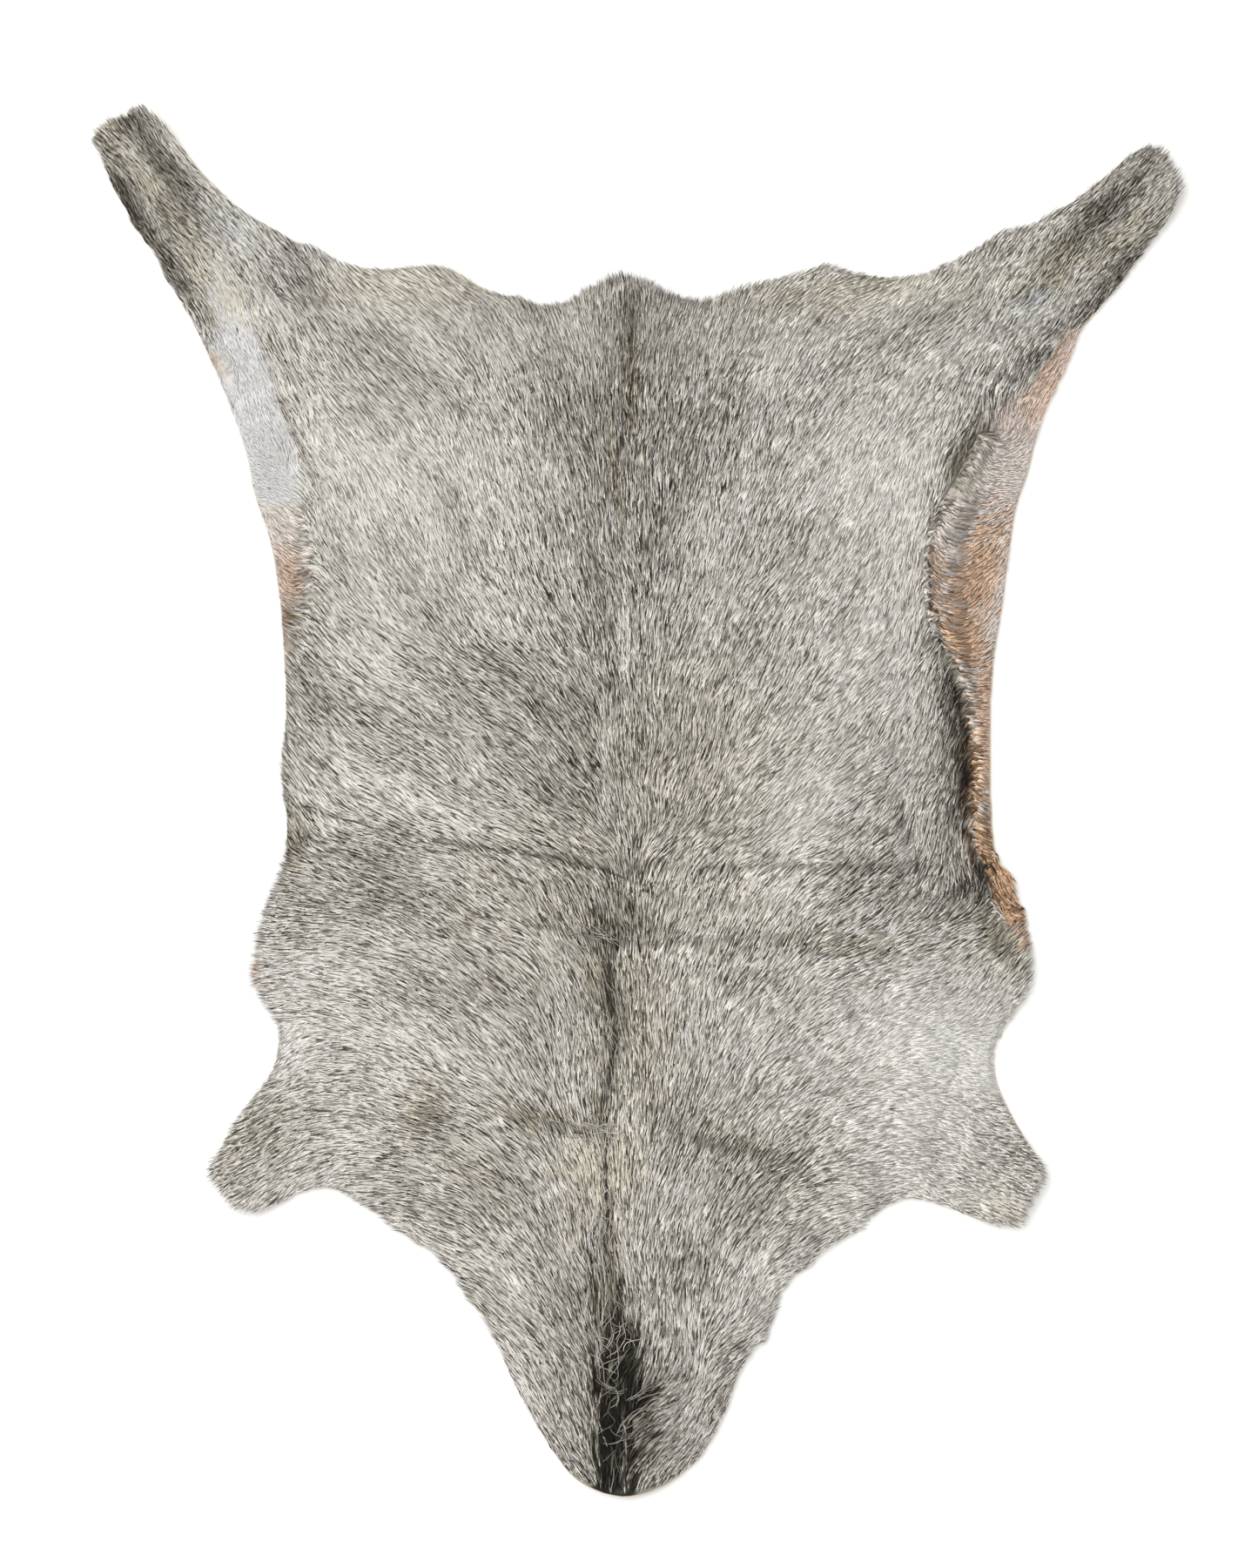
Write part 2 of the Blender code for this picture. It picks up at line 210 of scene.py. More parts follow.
def rows_of(kind: Callable[..., Row], rows: Iterable[tuple[float | None, ...]]) -> tuple[Row, ...]:
    """Make a table: plain rows get the named columns of one kind."""
    return tuple(kind(*row) for row in rows)


# Strokes of the comb, area by area: across, along, angle.
SPINE_STROKES = rows_of(Stroke, (
    (0, 415, 92), (0, 340, 90), (-2, 260, 90), (-4, 180, 91), (-5, 110, 94), (-4, 50, 96),
    (0, 5, 92), (-8, -35, 100), (-2, -75, 106), (-3, -115, 92), (-10, -160, 85), (-12, -200, 98),
    (-12, -250, 92), (-12, -300, 90), (-8, -350, 84), (-6, -400, 80), (-6, -440, 86),
))

LEFT_STROKES = rows_of(Stroke, (
    (-50, 390, 106), (-100, 390, 118), (-150, 385, 134), (-165, 425, 147), (-115, 420, 140),
    (-200, 385, 134), (-250, 385, 124), (-50, 320, 103), (-100, 320, 114), (-150, 320, 125),
    (-200, 320, 131), (-235, 320, 114), (-50, 250, 106), (-110, 250, 112), (-170, 250, 116),
    (-225, 250, 118), (-50, 190, 114), (-110, 190, 122), (-170, 190, 127), (-222, 190, 122),
    (-40, 130, 124), (-100, 135, 146), (-160, 130, 146), (-225, 125, 136), (-40, 70, 126),
    (-100, 70, 144), (-160, 70, 151), (-235, 70, 132), (-40, 10, 120), (-100, 10, 144),
    (-160, 10, 158), (-215, 5, 160), (-240, 28, 124), (-245, -5, 168), (-40, -40, 120),
    (-100, -40, 149), (-160, -40, 158), (-220, -40, 172), (-258, -50, 182), (-40, -90, 113),
    (-100, -90, 144), (-160, -90, 150), (-220, -90, 166), (-262, -85, 184),
))

LEFT_SHOULDER_STROKES = rows_of(Stroke, (
    (-40, -140, 98), (-75, -140, 124), (-120, -140, 145), (-165, -140, 158), (-215, -140, 184),
    (-245, -135, 207), (-40, -190, 112), (-80, -190, 136), (-120, -190, 150), (-165, -190, 162),
    (-215, -190, 186), (-260, -195, 208), (-290, -215, 203), (-265, -228, 216), (-45, -235, 110),
    (-90, -235, 134), (-140, -235, 158), (-185, -225, 174), (-230, -215, 206), (-45, -285, 112),
    (-85, -285, 134), (-120, -285, 157), (-45, -335, 122), (-85, -330, 134), (-45, -385, 119),
    (-72, -385, 115), (-40, -428, 120),
))

LEFT_LEG_STROKES = rows_of(Stroke, (
    (-372, 528, 134), (-345, 540, 128), (-335, 510, 126), (-358, 480, 122), (-315, 475, 130),
    (-280, 440, 130), (-315, 430, 124), (-250, 425, 129), (-292, 375, 113), (-278, 335, 108),
    (-266, 305, 84), (-258, 275, 150), (-250, 245, 160), (-244, 210, 150), (-238, 190, 160),
    (-246, 168, 128),
))

RIGHT_STROKES = rows_of(Stroke, (
    (45, 395, 72), (100, 390, 58), (150, 385, 45), (165, 425, 26), (120, 425, 40), (200, 385, 42),
    (240, 385, 50), (275, 385, 55), (50, 320, 74), (100, 320, 70), (150, 320, 58), (200, 320, 51),
    (235, 320, 63), (50, 250, 77), (110, 250, 67), (170, 250, 60), (215, 250, 62), (50, 190, 74),
    (110, 190, 58), (170, 190, 54), (212, 190, 70), (45, 130, 69), (110, 130, 52), (170, 130, 48),
    (218, 130, 68), (45, 70, 65), (110, 70, 46), (170, 70, 31), (215, 70, 52), (236, 70, 74),
    (45, 10, 56), (110, 10, 48), (170, 10, 33), (215, 10, 44), (240, 12, 106), (247, 2, 118),
    (235, 28, 96), (236, 47, 88), (238, 68, 84), (238, 90, 84), (235, 108, 80), (230, 128, 72),
    (224, 150, 70), (218, 35, 84), (217, 16, 90), (213, 172, 78), (209, 198, 80), (208, 224, 80),
    (210, 250, 78), (217, 274, 72), (230, 296, 62), (45, -40, 66), (100, -40, 54), (160, -40, 38),
    (215, -40, 26), (250, -42, 24), (45, -90, 76), (100, -90, 50), (160, -90, 34), (215, -92, 20),
    (265, -80, 44),
))

CREASE_STROKES = rows_of(Stroke, (
    (-26, 11, 148), (-58, 19, 158), (-95, 25, 162), (-132, 30, 164), (-30, -9, 112), (-62, -4, 124),
    (-98, 1, 138), (24, 8, 42), (56, 9, 28), (95, 10, 24), (140, 11, 24), (190, 11, 28),
    (28, -11, 70), (62, -11, 62), (105, -11, 54), (150, -11, 44),
))

RIGHT_SHOULDER_STROKES = rows_of(Stroke, (
    (40, -140, 80), (80, -140, 60), (120, -140, 40), (165, -140, 28), (215, -140, 1),
    (252, -140, -16), (40, -190, 68), (80, -190, 50), (120, -190, 38), (165, -190, 22),
    (215, -190, -5), (265, -185, -22), (290, -215, -16), (272, -240, -24), (45, -235, 66),
    (90, -235, 54), (140, -235, 24), (180, -232, 8), (225, -228, -20), (45, -285, 76),
    (85, -285, 58), (125, -278, 26), (28, -335, 84), (40, -312, 104), (47, -332, 110),
    (53, -352, 108), (60, -318, 64), (64, -338, 48), (68, -352, 36), (78, -340, 36), (94, -340, 30),
    (10, -383, 34), (24, -379, 12), (34, -374, 30), (42, -366, 72), (46, -392, 76), (20, -355, 84),
    (34, -350, 84), (12, -402, 36), (28, -399, 30), (14, -425, 58), (34, -420, 48), (52, -404, 66),
    (64, -382, 72), (28, -438, 52),
))

RIGHT_LEG_STROKES = rows_of(Stroke, (
    (385, 500, 42), (365, 505, 46), (330, 478, 44), (380, 475, 41), (290, 445, 50), (335, 435, 46),
    (300, 405, 52), (335, 405, 48), (310, 372, 54), (290, 335, 64), (272, 312, 100),
    (262, 292, 126), (246, 275, 138), (268, 262, 20), (248, 248, 24), (262, 225, 44), (234, 222, 6),
    (260, 190, 56), (232, 190, -18), (250, 158, 46), (240, 160, 4), (254, 125, 4), (255, 85, 0),
    (255, 50, -8), (256, 20, -4), (270, -8, 48), (275, -35, 46),
))

# Patches of the coat, area by area: across, along, half width, half length, turn,
# lighter, and where it is needed tint, calm, edge, strokes.
BROAD_TONES = rows_of(Tone, (
    (0, 402, 44, 270, 0, 0.0, None, 0.42, 2.0), (-165, 270, 70, 110, 90, 0.0, None, 0.30, 2.0),
    (165, 280, 60, 90, 90, 0.0, None, 0.25, 2.0), (335, 455, 45, 95, 46, 0.0, None, 0.15, 2.0),
    (110, 60, 110, 380, 88, 0.03), (-130, 285, 55, 85, 170, 0.05), (220, -105, 50, 75, 85, 0.12),
    (272, -104, 14, 26, 60, 0.14), (262, -140, 14, 22, 80, 0.09), (150, -145, 40, 60, 0, 0.06),
    (95, -125, 40, 40, 0, 0.04), (165, 132, 30, 46, 60, 0.07), (190, -215, 24, 85, 0, 0.04),
    (122, 62, 38, 52, 70, 0.19), (182, 283, 32, 40, 60, 0.18), (-30, 70, 22, 28, 90, -0.08),
    (225, 425, 18, 75, 12, 0.08), (-30, 70, 72, 175, 90, -0.08), (0, 315, 42, 110, 90, -0.06),
    (-8, -85, 40, 60, 90, -0.05), (5, -110, 34, 85, 90, 0.0, 0.33), (0, -20, 70, 115, 0, 0.0, 0.29),
    (-335, 470, 38, 78, 122, -0.09), (-347, 541, 10, 16, 130, -0.10),
    (-165, -28, 28, 80, 176, -0.07), (-215, 112, 34, 40, 90, -0.05), (-95, 125, 32, 32, 0, -0.04),
    (-180, -135, 42, 62, 0, 0.05), (-245, -205, 34, 46, 36, 0.07), (-90, -238, 24, 52, 150, -0.06),
    (160, 205, 55, 115, 76, 0.05), (212, 330, 24, 46, 62, 0.10), (340, 466, 26, 60, 45, -0.05),
    (342, 441, 8, 16, 45, -0.12), (225, -150, 52, 60, 0, 0.16), (215, -218, 34, 82, 170, 0.13),
    (128, -278, 12, 50, 42, 0.07),
))

SPINE_TONES = rows_of(Tone, (
    (-28, 376, 15, 30, 90, 0.05), (-64, 406, 11, 34, 4, -0.10), (30, -178, 18, 26, 40, -0.06),
    (-45, -275, 24, 42, 112, -0.07), (36, -285, 16, 36, 78, -0.08), (2, 408, 8, 22, 90, -0.18),
    (2, 345, 6, 40, 92, -0.07, 0.40), (32, 212, 13, 32, 90, -0.065), (28, 325, 12, 18, 90, -0.06),
    (24, 0, 16, 14, 0, -0.07), (2, -424, 7, 12, 90, -0.24), (20, -225, 10, 22, 90, 0.04),
    (-28, 272, 14, 18, 60, -0.06), (8, -12, 22, 26, 0, -0.05), (42, 72, 18, 28, 45, -0.05),
    (56, -200, 14, 14, 0, -0.11), (-36, -172, 13, 24, 0, -0.08),
    (-24, -72, 13, 18, 90, -0.13, 0.36), (1, -30, 8, 14, 90, -0.08, 0.36),
    (-38, -300, 20, 26, 100, -0.06), (28, -338, 10, 20, 90, 0.06), (52, -402, 8, 22, 75, 0.05),
    (56, -334, 12, 16, 60, -0.07), (-9, 285, 4, 40, 96, -0.05, 0.38), (-22, 185, 12, 22, 90, 0.05),
    (8, 320, 62, 92, 90, -0.07), (34, 300, 15, 88, 90, -0.065), (55, 238, 22, 28, 90, 0.05),
    (16, 235, 40, 46, 90, -0.03), (-44, 320, 15, 24, 90, -0.04), (46, 328, 15, 30, 90, -0.05),
    (-16, 82, 5.5, 50, 91, 0.12), (-3, 172, 4.5, 42, 92, 0.13), (-13, 162, 3.5, 22, 92, -0.12),
    (48, 70, 60, 90, 90, -0.01, 0.31), (-60, 85, 58, 34, 150, -0.04), (-38, 97, 12, 15, 0, 0.06),
    (-34, 122, 12, 12, 0, -0.08), (-22, -40, 13, 28, 165, -0.16, 0.40),
    (22, -40, 8, 16, 160, -0.07), (-12, -110, 7, 54, 91, -0.14, 0.41),
    (-18, -215, 30, 44, 90, 0.05, 0.42), (-19, -178, 8, 18, 92, -0.15, 0.40),
    (-45, -222, 16, 24, 90, 0.06), (-13, -262, 6, 16, 90, -0.15, 0.38),
    (-15, -235, 3.5, 48, 92, -0.16, 0.40), (-26, -308, 12, 26, 102, -0.12),
    (-12, -300, 12, 20, 90, -0.12, 0.34), (-12, -305, 22, 40, 90, -0.08),
    (-10, -375, 24, 66, 88, -0.18), (12, -378, 14, 30, 80, -0.16), (14, -412, 16, 28, 80, -0.18),
    (-52, -322, 14, 24, 110, -0.07), (50, -355, 10, 14, 70, 0.05), (46, -390, 12, 18, 72, 0.06),
    (56, -374, 8, 14, 70, -0.08), (-42, -405, 15, 28, 116, -0.06),
))

LEFT_TONES = rows_of(Tone, (
    (-232, 428, 15, 26, 128, -0.09), (-225, 195, 9, 32, 96, -0.08),
    (-165, 418, 15, 58, 0, 0.03, 0.32), (-165, 368, 15, 34, 150, -0.04),
    (-165, 288, 26, 42, 170, 0.10), (-222, 332, 20, 40, 112, 0.09), (-185, 215, 45, 66, 100, 0.07),
    (-85, 292, 32, 62, 95, 0.045), (-145, 46, 22, 40, 150, 0.03), (-130, 350, 18, 26, 150, -0.03),
    (-190, 112, 12, 58, 176, -0.04), (-185, 64, 8, 60, 176, 0.03), (-125, 45, 14, 52, 165, 0.06),
    (-170, 21, 5, 60, 172, -0.07), (-243, 20, 15, 22, 92, -0.22, 0.36), (-222, -4, 14, 18, 0, 0.07),
    (-244, 63, 7, 16, 90, -0.11), (-96, 158, 30, 38, 60, -0.06), (8, 135, 16, 26, 90, -0.06),
    (-52, 44, 18, 40, 150, -0.06), (-132, 8, 20, 36, 0, 0.07), (-176, 352, 13, 24, 150, -0.04),
    (-248, 398, 15, 26, 125, 0.07), (-212, 218, 20, 24, 0, -0.07), (-130, 216, 16, 20, 0, -0.08),
    (-203, 172, 14, 22, 100, -0.08), (-232, 158, 14, 36, 95, -0.06), (-185, 10, 16, 40, 170, -0.06),
    (-145, -72, 16, 45, 162, -0.06), (-252, -52, 12, 26, 95, -0.08), (-85, -190, 14, 18, 0, -0.07),
    (-125, -250, 14, 24, 140, -0.09), (-172, -222, 13, 20, 160, -0.08),
    (-108, -290, 12, 18, 130, -0.07), (-228, -222, 12, 34, 8, 0.06),
    (-190, -25, 12, 52, 178, -0.07), (-238, -72, 26, 32, 0, 0.10, 0.22),
    (-240, -128, 24, 26, 0, 0.15, 0.22), (-118, -90, 22, 40, 160, -0.04),
    (-130, -152, 14, 16, 0, -0.06), (-148, 85, 22, 30, 90, 0.045), (-124, 22, 14, 14, 0, 0.06),
    (-252, -145, 8, 26, 110, 0.08), (-225, -228, 12, 34, 0, 0.08),
    (-144, -172, 13, 22, 70, -0.10, 0.36), (-62, -178, 8, 34, 172, -0.10, 0.38),
    (-266, -192, 24, 40, 38, -0.05, 0.28), (-204, -196, 20, 26, 40, 0.06),
    (-108, -215, 20, 44, 140, -0.07, 0.28), (-105, -278, 16, 30, 130, 0.06),
    (-78, -302, 10, 22, 130, 0.05), (-104, -196, 15, 18, 0, 0.08), (-62, -350, 20, 36, 118, -0.02),
))

LEFT_LEG_TONES = rows_of(Tone, (
    (-338, 445, 10, 52, 120, -0.12), (-243, 322, 4.5, 58, 112, -0.14),
    (-252, 268, 13, 26, 100, 0.10), (-331, 506, 9, 44, 127, -0.23), (-361, 479, 8, 30, 120, -0.26),
    (-325, 428, 8, 20, 124, -0.14), (-368, 530, 16, 14, 0, -0.07, 0.34),
    (-340, 486, 7, 40, 125, 0.00, 0.42), (-302, 428, 13, 56, 118, 0.06, 0.34),
    (-322, 468, 12, 22, 125, -0.09), (-300, 402, 8, 10, 0, -0.07),
    (-330, 480, 48, 90, 122, 0.02, None, 0.20, 2.0), (-352, 508, 8, 22, 125, 0.08),
    (-362, 530, 18, 14, 0, -0.06), (-298, 474, 8, 14, 140, -0.05),
    (-282, 460, 12, 34, 142, 0.10, 0.17), (-244, 426, 18, 30, 128, -0.06, 0.20),
    (-266, -72, 5, 14, 90, 0.02, 0.66),
))

# The darker patches at across 221 to 243, along 56 to 153, are painted shadow where the coat's edge
# overhangs the belly, laid on the dark hair there.
RIGHT_TONES = rows_of(Tone, (
    (105, 362, 20, 32, 60, 0.05), (150, 128, 20, 32, 50, 0.06), (231, 120, 8, 34, 96, -0.16),
    (236, 62, 9, 72, 91, -0.12), (222, 56, 9, 84, 91, -0.10), (221, 145, 7, 22, 110, -0.09),
    (268, -58, 14, 20, 100, -0.08), (152, -72, 22, 14, 0, -0.05), (222, -135, 22, 32, 90, 0.05),
    (172, -246, 9, 40, 28, 0.11), (232, -238, 9, 22, 160, 0.08), (104, -306, 8, 24, 58, 0.10),
    (120, -180, 16, 22, 0, -0.05), (112, 408, 9, 16, 0, -0.07), (243, 66, 5, 54, 91, -0.10, 0.66),
    (229, 153, 9, 26, 116, -0.22), (258, -14, 6, 20, 112, -0.14), (252, -10, 10, 24, 128, -0.20),
    (115, 358, 30, 36, 60, 0.05), (178, 165, 28, 36, 60, 0.06), (98, -38, 26, 30, 40, 0.04),
    (125, -278, 12, 22, 40, 0.06), (382, 500, 14, 16, 0, 0.08), (190, 416, 13, 62, 5, 0.07),
    (278, 403, 11, 20, 46, -0.08), (112, 408, 11, 30, 5, -0.06), (94, -104, 20, 36, 32, 0.12),
    (172, -62, 12, 20, 176, -0.07), (276, -66, 11, 16, 100, -0.10), (116, -262, 16, 22, 30, -0.06),
    (214, -54, 15, 36, 12, 0.11), (275, -100, 13, 20, 20, 0.09), (74, -230, 18, 26, 60, -0.05),
    (168, 415, 15, 76, 4, 0.03, 0.34), (108, 369, 20, 24, 90, 0.07), (150, 285, 42, 58, 80, 0.04),
    (134, 248, 10, 20, 52, -0.11), (95, 196, 20, 24, 60, 0.06), (300, 402, 13, 22, 46, 0.10),
    (232, 299, 9, 22, 60, -0.12), (108, -296, 10, 30, 52, 0.04), (230, -232, 10, 44, 174, 0.08),
    (275, -248, 12, 16, 0, 0.11), (-276, -240, 12, 22, 0, 0.09), (100, -318, 12, 22, 60, 0.08),
    (125, 2, 22, 10, 0, -0.05), (122, -250, 12, 14, 0, -0.06), (124, -190, 14, 18, 30, -0.08),
    (52, -250, 11, 14, 60, 0.09), (152, -238, 18, 16, 0, 0.09), (180, 172, 38, 46, 60, 0.06),
    (232, 96, 9, 30, 92, -0.12), (196, 24, 40, 40, 0, -0.05), (188, -12, 10, 34, 10, -0.09),
    (262, -48, 13, 22, 130, -0.18, 0.40), (150, -52, 8, 64, 176, -0.09, 0.32),
    (110, 25, 17, 20, 60, 0.08), (105, -24, 14, 22, 50, 0.05), (218, -128, 36, 52, 170, 0.30, 0.22),
    (262, -135, 20, 24, 90, 0.20, 0.21), (200, -182, 30, 34, 0, 0.14, 0.22),
    (128, -118, 20, 34, 30, 0.04), (82, -196, 10, 46, 155, -0.13, 0.30),
    (112, -226, 24, 34, 30, -0.09, 0.28), (254, -170, 12, 16, 150, -0.05),
    (284, -206, 10, 16, 155, -0.09), (248, -200, 18, 24, 160, 0.07),
    (268, -240, 12, 22, 160, 0.00, 0.32), (80, -304, 24, 32, 60, 0.08),
    (74, -342, 10, 24, 0, -0.05), (46, -290, 12, 22, 70, -0.05), (55, -398, 10, 24, 80, 0.05),
))

RIGHT_LEG_TONES = rows_of(Tone, (
    # first on this line: painted shadow along the thigh's border
    (240, 298, 9, 28, 66, -0.13, 0.30), (241, 292, 8, 38, 62, 0.0, None, 0.70, 1.5),
    (215, 216, 5, 44, 92, -0.04, None, 0.60, 1.5), (252, 350, 11, 14, 60, -0.11),
    (296, 372, 9, 46, 42, -0.13, 0.18), (342, 477, 10, 42, 46, -0.22), (351, 425, 8, 44, 50, -0.25),
    (376, 510, 8, 14, 130, -0.10), (352, 452, 8, 34, 44, 0.06, 0.42),
    (304, 432, 14, 34, 44, -0.03, 0.38), (288, 408, 9, 26, 46, 0.07, 0.14),
    # painted shadow by the right flank's fold, strewn with single dark hairs
    (239, 66, 6, 58, 92, -0.10, None, 0.0, 1.0, 0.5),
    # painted shadow along the thigh's border, strewn with single dark hairs
    (239, 298, 6, 26, 68, -0.08, None, 0.0, 1.0, 0.6),
))

# Where streaks run further: lighter is by how much.
SLEEK_TONES = rows_of(Tone, (
    (222, -155, 70, 95, 0, 1.3), (140, -215, 46, 60, 30, 0.8), (-205, -150, 75, 90, 0, 1.1),
    (-330, 480, 48, 90, 122, 0.8), (335, 455, 48, 90, 46, 0.6),
))

# Strokes that both panels of the right side share.
FLANK_STROKES = rows_of(Stroke, (
    (315, 382, 56), (304, 366, 58), (290, 348, 60), (274, 338, 64), (264, 324, 78), (286, 322, 58),
    (250, 306, -80), (258, 297, -52), (268, 292, -14), (281, 300, 26), (236, 284, -70),
    (244, 280, -56), (253, 277, -32), (267, 273, -2), (220, 256, -72), (225, 250, -56),
    (231, 250, -36), (238, 248, -16), (246, 248, 2), (257, 252, 20), (269, 257, 30),
    (216, 226, -78), (221, 224, -58), (227, 222, -32), (234, 221, -8), (242, 222, 14),
    (250, 224, 34), (262, 228, 50), (217, 200, -76), (222, 197, -52), (227, 194, -24),
    (233, 193, 2), (240, 195, 24), (248, 197, 42), (260, 200, 55), (220, 176, -66), (226, 172, -36),
    (233, 170, -6), (241, 172, 18), (249, 175, 36), (258, 178, 50), (235, 150, -44),
    (241, 148, -14), (248, 150, 8), (257, 154, 28), (245, 125, -24), (253, 125, 4), (248, 95, -16),
    (254, 92, 0), (251, 60, -12), (250, 30, -16), (256, 8, -16),
))

PANELS = (
    # right thigh
    Panel(
        13.0, 2.0, 0.18, 0.52, 0.40,
        (
            (324, 394), (310, 384), (299, 366), (287, 348), (272, 338), (261, 328), (252, 314),
            (246, 300), (239, 287), (231, 274), (224, 262), (220, 246), (300, 246), (320, 300),
            (350, 370),
        ),
        FLANK_STROKES,
        (
            Tone(300, 350, 16, 40, 64, 0.01, 0.65, 0.0, 1.5),
            Tone(272, 322, 12, 20, 60, 0.02, 0.57),
            Tone(256, 290, 22, 26, 60, 0.02, 0.48),
            # painted shadow along the thigh's border
            Tone(242, 282, 8, 32, 60, -0.06, 0.44),
            Tone(244, 287, 10, 38, 61, 0.0, None, 0.80, 1.5),
        ),
    ),
    # right belly and flank
    Panel(
        4.0, 1.2, 0.15, 0.52, 0.20,
        (
            (300, 270), (262, 269), (245, 268), (228, 266), (221, 256), (217, 246), (214, 230),
            (213, 215), (214, 200), (217, 184), (223, 168), (229, 155), (235, 142), (240, 126),
            (244, 108), (247, 85), (247, 65), (245, 45), (246, 24), (250, 11), (257, 2), (268, 8),
            (290, 20), (300, 200),
        ),
        FLANK_STROKES,
        (
            Tone(248, 210, 21, 54, 68, 0.03, 0.73, 0.0, 1.2),
            Tone(270, 228, 7, 34, 76, 0.05, 0.63),
            Tone(240, 168, 15, 27, 114, 0.03, 0.74, 0.0, 2.0),
            # this and the next: painted shadow of the coat's edge along the border
            Tone(218, 204, 7, 40, 92, -0.26, 0.65, 0.0, 1.5),
            Tone(226, 250, 6, 20, 106, -0.08, 0.50),
            Tone(239, 236, 6, 46, 91, 0.09),
            Tone(222, 222, 6, 48, 94, 0.0, None, 0.60, 1.5),
            # painted shadow of the coat's edge along the border
            Tone(227, 165, 7, 24, 114, -0.22, 0.76),
            Tone(256, 100, 13, 56, 90, 0.01, 0.69, 0.0, 3.0),
            # painted shadow of the coat's edge along the border
            Tone(247, 62, 3.6, 48, 91, -0.18, 0.77, 0.0, 2.0),
            Tone(254, 20, 9, 30, 91, -0.23, 0.74, 0.0, 2.0),
            Tone(254, 96, 6, 44, 90, 0.10),
        ),
    ),
    # right flap under the foreleg
    Panel(
        4.0, 1.0, -0.05, 0.76, 0.0,
        ((254, 4), (258, -8), (264, -22), (271, -38), (280, -56), (300, -56), (300, 20), (262, 14)),
        (Stroke(262, -6, -60), Stroke(270, -22, -66), Stroke(272, -38, 50), Stroke(281, -46, 42)),
        (Tone(260, -8, 4, 20, 118, -0.14, 0.80), Tone(276, -48, 9, 9, 0, -0.02, 0.60)),
    ),
    # left thigh
    Panel(
        14.0, 2.0, 0.21, 0.15, 0.80,
        (
            (-296, 436), (-280, 416), (-268, 398), (-263, 374), (-256, 352), (-248, 332),
            (-241, 312), (-236, 290), (-234, 262), (-236, 244), (-290, 240), (-318, 330), (-302, 368),
            (-296, 384), (-301, 408),
        ),
        (
            Stroke(-288, 408, 120), Stroke(-276, 372, 112), Stroke(-270, 340, 112),
            Stroke(-263, 312, 122), Stroke(-256, 290, 148), Stroke(-252, 272, 160),
            Stroke(-242, 300, 98), Stroke(-248, 328, 110),
        ),
        (
            Tone(-283, 412, 12, 26, 118, -0.02, 0.32, 0.2),
            Tone(-278, 370, 17, 18, 110, -0.07),
            Tone(-293, 365, 6, 18, 112, -0.06),
            Tone(-299, 366, 5, 12, 112, -0.04, 0.64),
            Tone(-260, 292, 20, 20, 0, -0.04),
        ),
    ),
    # left flank
    Panel(
        8.0, 2.6, 0.13, 0.50, 0.45,
        (
            (-236, 262), (-231, 252), (-229, 238), (-227, 220), (-227, 206), (-231, 192),
            (-237, 180), (-240, 166), (-243, 148), (-270, 148), (-280, 268), (-256, 258),
        ),
        (
            Stroke(-256, 255, 128), Stroke(-247, 246, 134), Stroke(-238, 246, 155),
            Stroke(-232, 246, 212), Stroke(-252, 226, 126), Stroke(-244, 222, 142),
            Stroke(-236, 218, 178), Stroke(-230, 216, 222), Stroke(-250, 205, 128),
            Stroke(-243, 200, 152), Stroke(-236, 198, 190), Stroke(-230, 202, 232),
            Stroke(-246, 185, 136), Stroke(-240, 182, 176), Stroke(-246, 164, 122),
        ),
        (
            Tone(-241, 208, 14, 24, 96, -0.10, 0.66, 0.0, 1.5),
            Tone(-241, 182, 8, 12, 0, -0.34, 0.64),
            Tone(-229, 208, 3.0, 24, 94, -0.24, 0.60),
            Tone(-237, 190, 5, 22, 104, -0.12),
            Tone(-245, 164, 6, 14, 92, -0.14, 0.60),
        ),
    ),
    # mane
    Panel(
        4.5, 4.5, -0.94, 0.30, 0.0,
        (
            (-18, -300), (-8, -302), (0, -318), (5, -336), (9, -352), (10, -366), (17, -374),
            (5, -386), (1, -398), (2, -412), (-2, -428), (-3, -450), (-19, -450), (-20, -426),
            (-21, -396), (-22, -366), (-18, -335),
        ),
        (
            Stroke(-12, -306, 96), Stroke(-16, -340, 104), Stroke(-3, -345, 62),
            Stroke(-12, -370, 82), Stroke(-12, -402, 96), Stroke(-10, -436, 90),
        ),
        (Tone(-12, -300, 14, 22, 90, 0.36, 0.38), Tone(-10, -335, 12, 18, 90, 0.05, 0.34)),
    ),
)
